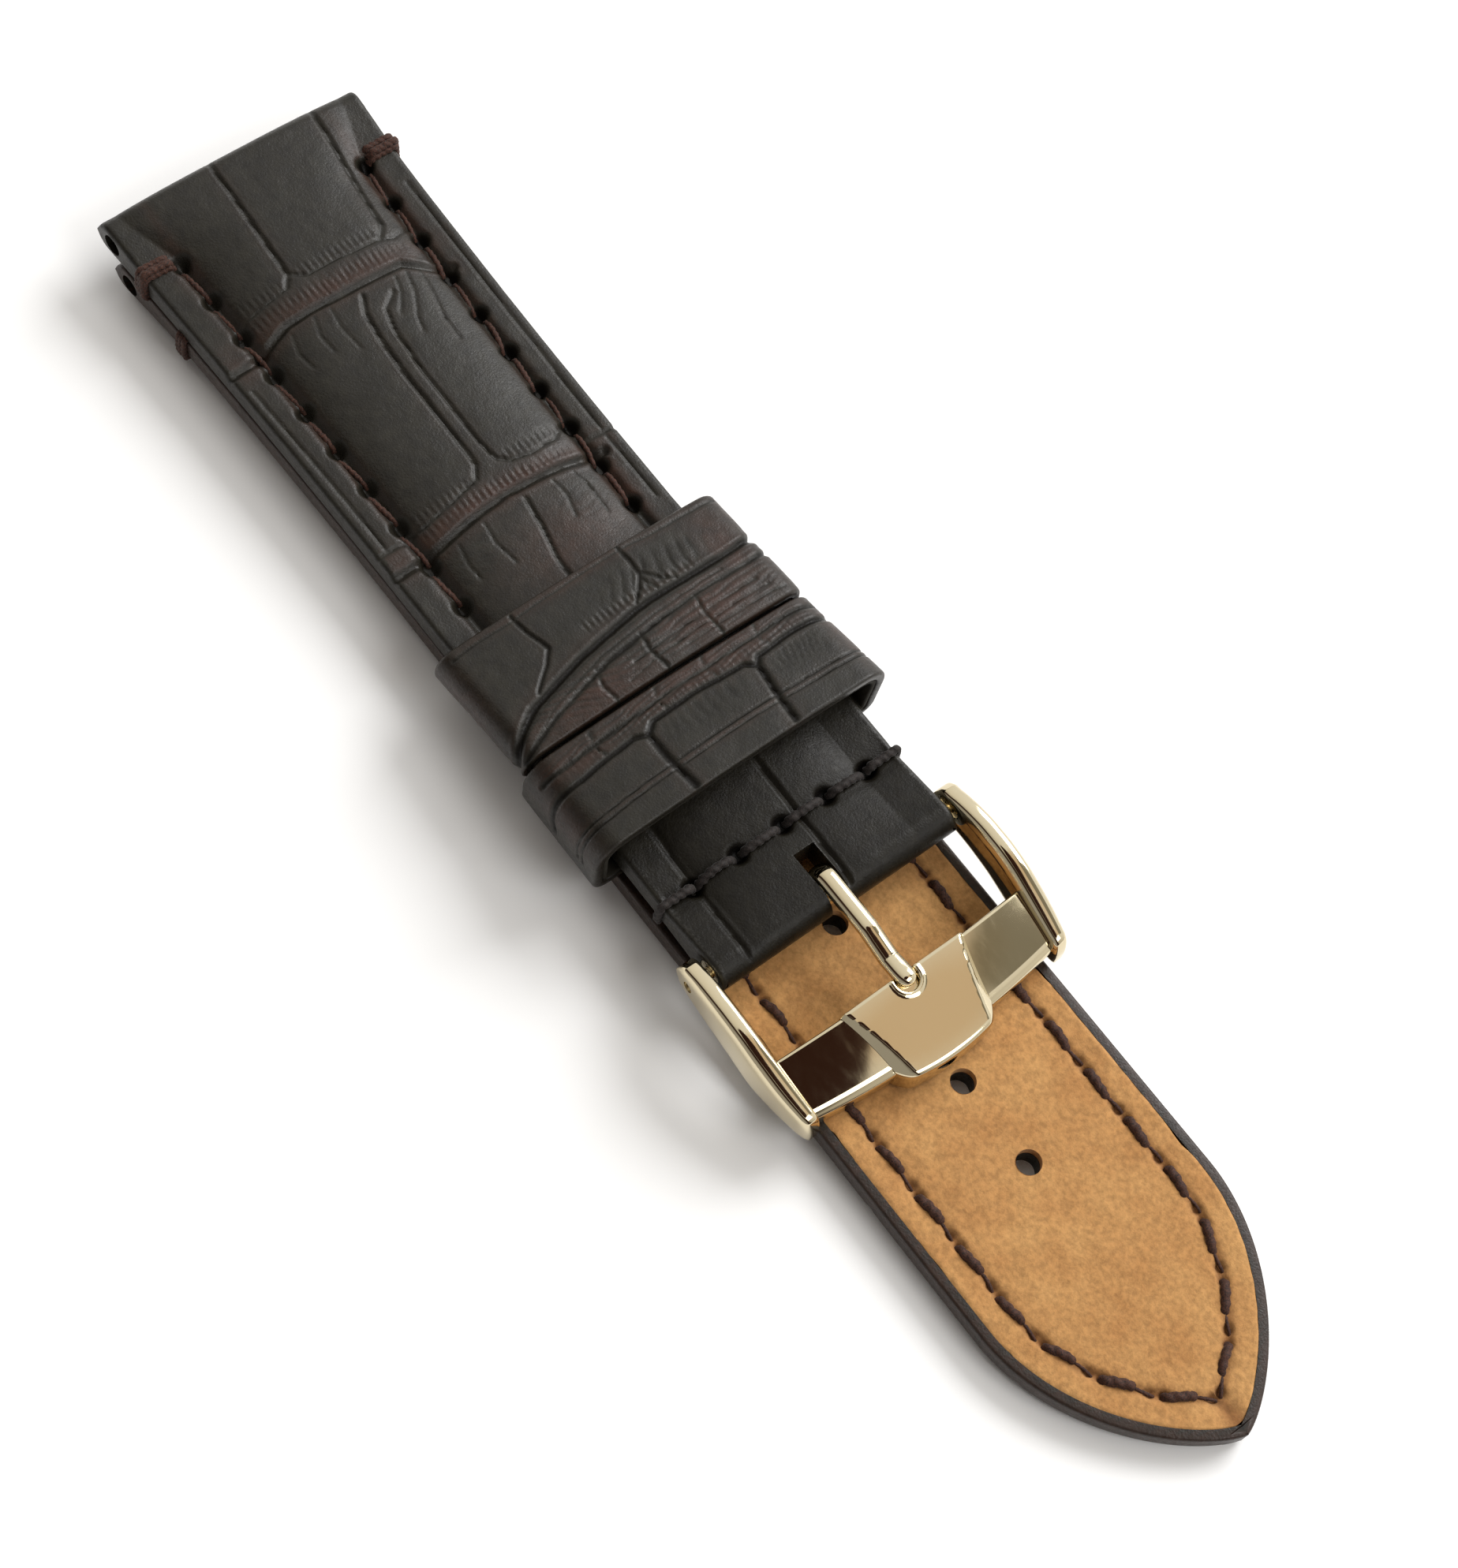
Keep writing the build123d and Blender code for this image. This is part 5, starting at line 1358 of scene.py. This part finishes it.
# Outline of one arm: places along X and the values there, of its outer face, inner face, top and bottom
ARM_OUTLINE = (
    ((11.9, 12.5, 14.5, 16, 18, 20, 21, 22, 23, 24, 25, 25.75),
     (11.72, 11.84, 12.0, 12.08, 12.12, 12.12, 12.06, 11.98, 11.86, 11.7, 11.5, 11.28)),
    ((11.9, 13, 14.5, 16, 18, 20, 21, 22, 23, 24, 25.75),
     (10.4, 10.38, 10.4, 10.42, 10.42, 10.36, 10.3, 10.26, 10.22, 10.18, 10.12)),
    ((11.9, 12, 12.2, 12.5, 13.35, 14.5, 16, 18, 19, 20, 21, 22, 23, 24, 25, 25.75),
     (5.42, 5.85, 6.2, 6.45, 6.75, 7.0, 7.17, 7.08, 6.92, 6.68, 6.4, 6.1, 5.8, 5.5, 5.2, 4.9)),
    ((11.9, 12, 12.2, 12.5, 13.35, 14.5, 16, 18, 19, 20, 20.7, 25.75),
     (5.2, 4.8, 4.45, 4.15, 3.87, 3.8, 3.68, 3.34, 3.09, 2.79, 2.6, 2.6)),
)


def buckle_arm(shell, side):
    """Adds one arm: bowed out along its length, rounded on top and closed at both ends."""
    x = np.concatenate((FRAME_BACK + 0.7 * (1 - np.cos(quarter(12))),
                        np.linspace(13, 24.9, 70), ARM_END + 0.75 * np.sin(quarter(10))))
    runs = [np.interp(x, places, values) for places, values in ARM_OUTLINE]
    smooth = [np.concatenate((run[:3], np.convolve(run, np.ones(7) / 7, "valid"), run[-3:])) for run in runs]
    rings = []
    for place, out, low, high, foot, share in zip(x, *smooth, rounded(ARM_END + 0.76 - x, 0.76, 0.02)):
        across, up = steel_section((out - low) / 2 * (0.5 + 0.5 * share), high, foot, 0.6, 0.4)
        up = foot + (up - foot) * (0.35 + 0.65 * share)
        rings.append(stack(place, side * ((out + low) / 2 + across), up))
    shell.tube(rings)


def bar_back(y):
    """Back edge of the buckle's bar."""
    return 20.75 + 0.35 * (1 - (y / BAR_HALF) ** 2)


def bar_front(y):
    """Front edge of the buckle's bar."""
    return 25.25 + 0.85 * (1 - (y / BAR_HALF) ** 2)


def bar_top(x, y):
    """Height of the bar's two flat mirrors, which fall away to the front and to both arms."""
    return 6.0 - 0.205 * (x - 21) - 0.012 * (x - 21) ** 2 - 0.005 * y ** 2 + 0.1


def buckle_bar(shell):
    """Adds the bar between the arms: flat on top with a narrow bright lip along its front."""
    turn = quarter(7)
    lip = np.array((0.5, 0.4, 0.26, 0.14, 0.05, 0))
    drop = np.concatenate(([0], 0.25 * (1 - np.sin(turn)), np.zeros(14), [0.0, 0.05, 0.14, 0.17, 0.26, 0.5]))
    rings = []
    for side in np.linspace(-10.6, 10.6, 90):
        back, front = bar_back(side), bar_front(side)
        x = np.concatenate(([back], back + 0.25 * (1 - np.cos(turn)),
                            np.linspace(back + 0.3, front - 0.75, 14), front - lip))
        up = bar_top(x, side) - drop
        up[0] = BAR_FLOOR
        rings.append(np.concatenate((stack(x, side, up), [(front - 0.1, side, BAR_FLOOR + 0.1),
                                                          (front - 0.3, side, BAR_FLOOR)])))
    shell.tube(rings)


def buckle_plate(shell):
    """Adds the raised plate in the bar's middle, with bevelled sides and the notch for the tongue."""
    v = stations(np.linspace(-1, 1, 71), np.linspace(-0.3, 0.3, 49))
    u = stations(np.linspace(0, 1, 61), np.linspace(0, 0.35, 41), np.linspace(0.93, 1, 8))[:, None]
    length = 27.3 - 0.5 * v ** 2 - 0.75 * np.clip((np.abs(v) - 0.72) / 0.28, 0, 1) ** 2.4 - PLATE_BACK
    half = 5.25 - 1.1 * u - 0.12 * np.sin(pi * u)
    x, y = PLATE_BACK + u * length, half * v
    top = 6.42 - 0.16 * (x - 21.2) - 0.011 * (x - 21.2) ** 2 - 0.003 * y ** 2
    bevel = np.clip(1 - (half - np.abs(y)) / (0.3 + 0.75 * u), 0, 1)
    height = top + (np.minimum(top, bar_top(x, y) + 0.05) - top) * bevel ** 1.15
    back_gap = x - PLATE_BACK
    height = height - 0.35 * (1 - rounded((1 - u) * length, 0.4)) - 0.22 * (1 - rounded(back_gap, 0.25))
    notch = np.where(back_gap < 0.55, np.abs(y), np.hypot(back_gap - 0.55, y)) - NOTCH_HALF
    height = height - 0.85 * ease(-notch / 0.32 + 0.1) + 0.07 * np.exp(-((notch - 0.2) / 0.16) ** 2)
    grid = stack(x, y, height)
    shell.patch(grid)
    rim = np.concatenate((grid[0], grid[1:, -1], grid[-1, -2::-1], grid[-2:0:-1, 0]))
    foot = rim.copy()
    foot[:, 2] = np.where(rim[:, 0] > 25.9, 2.9, BAR_FLOOR + 0.05)
    shell.patch(np.stack((rim, foot)), wrap_columns=True)
    shell.fan(foot)


def build_buckle_frame(material):
    """Frame of the buckle: two arms, the bar between them and its raised plate."""
    shell = Shell()
    for side in (-1, 1):
        buckle_arm(shell, side)
    buckle_bar(shell)
    buckle_plate(shell)
    piece = shell.build("buckle_frame_steel", material, 35)
    # Holes for the ends of the spring bar
    turn = around(28)
    drill = Shell()
    drill.tube([stack(BUCKLE_START + AXIS + PIVOT_RADIUS * np.cos(turn), y,
                      AXIS_Z + PIVOT_RADIUS * np.sin(turn)) for y in (-13, 13)])
    cutter = drill.build("drill", material)
    cut = piece.modifiers.new("holes", "BOOLEAN")
    cut.object, cut.solver, cut.use_self = cutter, "EXACT", True
    shape = bpy.data.meshes.new_from_object(piece.evaluated_get(bpy.context.evaluated_depsgraph_get()))
    piece.modifiers.clear()
    shape.set_sharp_from_angle(angle=radians(30))
    piece.data = shape
    bpy.data.objects.remove(cutter)
    dress(piece, "frame_body", "polished_steel", "buckle_frame")


def build_tongue(material):
    """Tongue: a round-topped bar bent round the spring bar, with a kink and a blunt tip in the notch."""
    low, high = [[v / MM for v in side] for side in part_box("buckle_tongue")]
    centre_x = corner("spring_bar_barrel", 0, 0) / 2 + corner("spring_bar_barrel", 1, 0) / 2
    radius = SEAT_RADIUS + 0.425
    turn = np.radians(np.linspace(215, 90, 30))
    loop = np.stack((centre_x + radius * squared(np.cos(turn), 0.74),
                     AXIS_Z + radius * squared(np.sin(turn), 0.74)), axis=1)
    tip_x, shank_z = high[0], AXIS_Z + radius
    tip_z = shank_z - 0.35
    shank = [(centre_x + 0.9, shank_z), (centre_x + 3.9, shank_z), (centre_x + 4.6, shank_z - 0.2),
             (centre_x + 6.3, tip_z - 0.25), (tip_x - 1.3, tip_z - 0.1), (tip_x - 0.7, tip_z),
             (tip_x - 0.02, tip_z)]
    points = np.concatenate((loop, shank))
    length = run_length(points)[-1]
    blunt = length - 1.2
    spots = np.concatenate((np.linspace(0, blunt, 90), blunt + 1.2 * np.sin(quarter(14)[1:])))
    line, ahead = follow(points, spots)
    left = length - spots
    close = rounded(left, 0.75, 0.0004) * rounded(spots, 0.3, 0.1)
    wide = (high[1] - low[1]) / 2 * (1 + 0.04 * np.exp(-((left - 1.2) / 0.8) ** 2)) * close
    tall = TONGUE_THICK / 2 * close * np.where(spots < 2.5, 0.8, 1)
    angle = around(32)
    above = tall[:, None] * squared(np.sin(angle), 0.9)
    grid = stack(line[:, 0, None] - ahead[:, 1, None] * above, wide[:, None] * squared(np.cos(angle), 0.85),
                 line[:, 1, None] + ahead[:, 0, None] * above)
    shell = Shell()
    shell.tube(grid)
    dress(shell.build("tongue", material, 60), "tongue_body", "polished_steel", "buckle_tongue")


def build_spring(material):
    """Coil spring inside the spring bar's barrel."""
    low, high = [[v / MM for v in side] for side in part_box("spring_bar_spring")]
    wire, pitch = 0.09, 0.42
    radius = (high[0] - low[0]) / 2 - wire
    turns = int((high[1] - low[1]) / pitch)
    share = np.linspace(0, 1, turns * 16)
    angle = 2 * pi * turns * share
    outward = stack(np.cos(angle), 0, np.sin(angle))
    centre = stack((low[0] + high[0]) / 2, low[1] + wire + (high[1] - low[1] - 2 * wire) * share,
                   (low[2] + high[2]) / 2)
    ring = around(6)[:, None]
    grid = (centre + radius * outward)[:, None] + outward[:, None] * wire * np.cos(ring)
    shell = Shell()
    shell.tube(grid + np.array((0, 1, 0)) * wire * np.sin(ring))
    dress(shell.build("spring_wire", material, 80), "buckle_strap", "spring_bar_steel", "spring_bar_spring")


# Stage
def build_stage(settings):
    """Plain pale floor, soft light and the camera at the photograph's view."""
    scene = bpy.context.scene
    mesh = bpy.data.meshes.new("floor")
    reach = 4
    mesh.from_pydata([(-reach, -reach, 0), (reach, -reach, 0), (reach, reach, 0), (-reach, reach, 0)], [],
                     [(0, 1, 2, 3)])
    floor = bpy.data.objects.new("floor", mesh)
    scene.collection.objects.link(floor)
    # Matt coated paper: an even white with no grain that shows at this distance
    paper, tree = blank_material("matt_white_paper")
    surface = node(tree, "ShaderNodeBsdfPrincipled",
                   {"Base Color": opaque(settings.floor_colour), "Roughness": 0.9, "Specular IOR Level": 0.2})
    node(tree, "ShaderNodeOutputMaterial", links={"Surface": surface.outputs[0]})
    mesh.materials.append(paper)

    world = bpy.data.worlds.new("soft_studio")
    world.use_nodes = True
    tree = world.node_tree
    tree.nodes.clear()
    # Soft room light: brightest on the strap's left side, with a cream, a dim brown and a grey patch
    way = node(tree, "ShaderNodeTexCoord").outputs["Generated"]
    lumps = node(tree, "ShaderNodeTexNoise", {"Scale": 3.0, "Detail": 2.0}, {"Vector": way})
    toward = node(tree, "ShaderNodeVectorMath", {"operation": "DOT_PRODUCT", 1: (-0.2, 0.9, 0.4)}, {0: way})
    level = node(tree, "ShaderNodeMath", {"operation": "MULTIPLY_ADD", 1: 0.5, 2: 0.5},
                 {0: toward.outputs["Value"]})
    room = node(tree, "ShaderNodeValToRGB", links={"Fac": level.outputs[0]},
                stops=((0.24, linear("#a8a6a3")), (0.38, linear("#35241d")), (0.50, linear("#35241d")),
                       (0.55, linear("#c6c2ba")), (0.78, linear("#f1eee8")), (0.95, linear("#ffffff"))))
    sky = room.outputs[0]
    for way_to, ragged, low, high, share, tint in (
            ((0.246, 0.355, 0.902), 0.02, 0.988, 1.005, 1.0, "#e0cab0"),
            ((0.25, 0.0, 0.968), 0.06, 0.992, 0.997, 1.0, "#33201a"),
            ((0.30, 0.56, 0.772), 0.03, 0.998, 1.006, 0.85, "#6b6452")):
        facing = node(tree, "ShaderNodeVectorMath", {"operation": "DOT_PRODUCT", 1: way_to}, {0: way})
        edge = node(tree, "ShaderNodeMath", {"operation": "MULTIPLY_ADD", 1: ragged},
                    {0: lumps.outputs["Fac"], 2: facing.outputs["Value"]})
        cover = node(tree, "ShaderNodeMapRange", {"From Min": low, "From Max": high, "To Max": share},
                     {"Value": edge.outputs[0]})
        sky = node(tree, "ShaderNodeMix", {"data_type": "RGBA", 7: linear(tint)},
                   {0: cover.outputs[0], 6: sky}).outputs[2]
    glow = node(tree, "ShaderNodeBackground", {"Strength": settings.fill}, {"Color": sky})
    node(tree, "ShaderNodeOutputWorld", links={"Surface": glow.outputs[0]})
    scene.world = world

    for name, place, width, height, power in (
            ("key", (-0.03, 0.40, 0.34), 0.34, 0.26, settings.key_power),
            ("top", (0.34, 0.10, 0.36), 0.22, 0.22, settings.key_power * 0.3)):
        light = bpy.data.lights.new(name, "AREA")
        light.shape = "RECTANGLE"
        light.size, light.size_y, light.energy = width, height, power
        lamp = bpy.data.objects.new(name, light)
        lamp.location = Vector(place)
        lamp.rotation_mode = "QUATERNION"
        lamp.rotation_quaternion = (-lamp.location).to_track_quat("-Z", "Y")
        scene.collection.objects.link(lamp)

    # Place and lens that the strap's straight edges and evenly spaced holes give
    camera_data = bpy.data.cameras.new("camera")
    camera_data.lens = 67.7424
    camera_data.sensor_width = 36
    camera_data.clip_start = 0.01
    camera = bpy.data.objects.new("camera", camera_data)
    camera.location = Vector((54.84316478, -69.29515563, 184.92208076)) * MM
    camera.rotation_mode = "QUATERNION"
    camera.rotation_quaternion = Quaternion((0.870545248, 0.217529678, 0.038584771, 0.439707887))
    scene.collection.objects.link(camera)
    scene.camera = camera
    scene.view_settings.view_transform = "Standard"


# Settings and operators
def colour(name, description, value):
    """Colour property with an sRGB hex default."""
    return bpy.props.FloatVectorProperty(name=name, description=description, subtype="COLOR", size=3, min=0,
                                         max=1, default=linear(value)[:3])


class STRAP_leather_settings(bpy.types.PropertyGroup):
    """Outer leather."""
    grain_depth: bpy.props.FloatProperty(
        name="Grain depth", description="Depth of the widest embossed grooves", default=GRAIN_DEPTH, min=0,
        max=0.0006, unit="LENGTH", precision=5)
    leather: colour("Leather", "Colour of the leather", "#16130d")
    leather_light: colour("Worn leather", "Colour of its lighter cloudy patches", "#232018")
    leather_rub: colour("Rubbed grooves", "Reddish brown where the finish is rubbed", "#3a2117")


class STRAP_lining_settings(bpy.types.PropertyGroup):
    """Lining leather."""
    pressed_depth: bpy.props.FloatProperty(
        name="Seam depth", description="Depth the seam is pressed in", default=PRESSED_DEPTH, min=0,
        max=0.0004, unit="LENGTH", precision=5)
    lining: colour("Lining", "Colour of the lining", "#c3935b")
    lining_dark: colour("Lining clouds", "Colour of its darker patches", "#ad7a47")
    # The pressed colour also fills the lining's stitch holes as painted shade
    lining_pressed: colour("Pressed seam", "Colour of the pressed seam line", "#7a4f2b")


class STRAP_thread_settings(bpy.types.PropertyGroup):
    """Thread."""
    thread_width: bpy.props.FloatProperty(
        name="Thread width", description="Width of the waxed thread", default=0.00066, min=0.0004,
        max=0.0012, unit="LENGTH", precision=5)
    brown: colour("Thread", "Colour of the brown thread", "#4a2c20")
    # The shade colour is painted shade between the plies
    brown_dark: colour("Thread shade", "Colour between its plies", "#140b08")
    black: colour("Dark thread", "Colour of the cross seam's thread", "#2c2522")
    # The shade colour is painted shade between the plies
    black_dark: colour("Dark thread shade", "Colour between its plies", "#0c0a09")


class STRAP_steel_settings(bpy.types.PropertyGroup):
    """Buckle and spring bar."""
    # Cream-tinted: the tint is a painted reflection of the warm room that the steel mirrors
    steel: colour("Steel", "Colour of the polished steel", "#d6c9aa")
    polish: bpy.props.FloatProperty(
        name="Polish", description="Roughness of the polished faces", default=0.06, min=0.02, max=0.5,
        subtype="FACTOR")


class STRAP_stage_settings(bpy.types.PropertyGroup):
    """Stage."""
    floor_colour: colour("Floor", "Colour of the paper floor", "#fdfdfd")
    key_power: bpy.props.FloatProperty(
        name="Lamp power", description="Power of the soft lamp", default=2.3, min=0, max=10, unit="POWER")
    fill: bpy.props.FloatProperty(
        name="Fill light", description="Strength of the even light", default=1.05, min=0, max=2)


def ready(recipe, settings):
    """Material of a recipe, made once."""
    return bpy.data.materials.get(recipe.__name__) or recipe(settings)


class STRAP_OT_buckle_leather(bpy.types.Operator):
    """Buckle piece: padded outer leather and its lining"""
    bl_idname = "strap.buckle_leather"
    bl_label = "Buckle piece"

    def execute(self, context):
        scene = context.scene
        leather = build_buckle_leather(scene.strap_leather, ready(embossed_waxed_calf, scene.strap_leather))
        build_buckle_lining(ready(tan_nubuck, scene.strap_lining))
        return {"FINISHED"}


class STRAP_OT_tail_leather(bpy.types.Operator):
    """Tail piece: padded outer leather and its lining"""
    bl_idname = "strap.tail_leather"
    bl_label = "Tail piece"

    def execute(self, context):
        scene = context.scene
        leather = build_tail_leather(scene.strap_leather, ready(embossed_waxed_calf, scene.strap_leather))
        build_tail_lining(scene.strap_lining, ready(tan_nubuck, scene.strap_lining))
        return {"FINISHED"}


class STRAP_OT_keepers(bpy.types.Operator):
    """Fixed and sliding keepers with their linings"""
    bl_idname = "strap.keepers"
    bl_label = "Keepers"

    def execute(self, context):
        scene = context.scene
        build_keepers(scene.strap_leather, ready(embossed_waxed_calf, scene.strap_leather),
                      ready(dyed_split_leather, scene.strap_leather))
        return {"FINISHED"}


class STRAP_OT_stitches(bpy.types.Operator):
    """Seams, cross seam and tacks"""
    bl_idname = "strap.stitches"
    bl_label = "Stitches"

    def execute(self, context):
        settings = context.scene.strap_thread
        brown = ready(brown_waxed_thread, settings)
        black = ready(black_waxed_thread, settings)
        build_buckle_seams(settings, brown)
        build_cross_seam(settings, black)
        build_lug_tacks(settings, brown)
        build_tail_threads(settings, brown)
        return {"FINISHED"}


class STRAP_OT_buckle(bpy.types.Operator):
    """Buckle frame, tongue and spring bar"""
    bl_idname = "strap.buckle"
    bl_label = "Buckle"

    def execute(self, context):
        settings = context.scene.strap_steel
        polished = ready(mirror_polished_steel, settings)
        drawn = ready(drawn_steel, settings)
        build_buckle_frame(polished)
        for name in ("spring_bar_barrel", "spring_bar_tip_left", "spring_bar_tip_right"):
            paint_node(name, drawn)
        build_tongue(polished)
        build_spring(drawn)
        return {"FINISHED"}


class STRAP_OT_stage(bpy.types.Operator):
    """Floor, lamps and camera"""
    bl_idname = "strap.stage"
    bl_label = "Stage"

    def execute(self, context):
        build_stage(context.scene.strap_stage)
        return {"FINISHED"}


class STRAP_PT_panel(bpy.types.Panel):
    """Lists the strap's pieces and their settings"""
    bl_idname = "STRAP_PT_panel"
    bl_label = "Leather watch strap"
    bl_space_type = "VIEW_3D"
    bl_region_type = "UI"
    bl_category = "Strap"

    def draw(self, context):
        for name, (settings, operators) in GROUPS.items():
            group = getattr(context.scene, name)
            box = self.layout.box()
            for key in settings.__annotations__:
                box.prop(group, key)
            for operator in operators:
                box.operator(operator.bl_idname)


GROUPS = {
    "strap_leather": (STRAP_leather_settings, (STRAP_OT_buckle_leather, STRAP_OT_tail_leather)),
    "strap_lining": (STRAP_lining_settings, (STRAP_OT_keepers,)),
    "strap_thread": (STRAP_thread_settings, (STRAP_OT_stitches,)),
    "strap_steel": (STRAP_steel_settings, (STRAP_OT_buckle,)),
    "strap_stage": (STRAP_stage_settings, (STRAP_OT_stage,)),
}


def register():
    """Registers the settings, the operators and the panel."""
    for name, (settings, operators) in GROUPS.items():
        bpy.utils.register_class(settings)
        setattr(bpy.types.Scene, name, bpy.props.PointerProperty(type=settings))
        for operator in operators:
            bpy.utils.register_class(operator)
    bpy.utils.register_class(STRAP_PT_panel)


def unregister():
    """Takes back what register did, in the other order."""
    bpy.utils.unregister_class(STRAP_PT_panel)
    for name, (settings, operators) in reversed(GROUPS.items()):
        for operator in reversed(operators):
            bpy.utils.unregister_class(operator)
        delattr(bpy.types.Scene, name)
        bpy.utils.unregister_class(settings)


def main():
    """Builds the stage and every piece."""
    register()
    bpy.ops.strap.stage()
    bpy.ops.strap.buckle_leather()
    bpy.ops.strap.tail_leather()
    bpy.ops.strap.keepers()
    bpy.ops.strap.stitches()
    bpy.ops.strap.buckle()


if __name__ == "__main__":
    main()
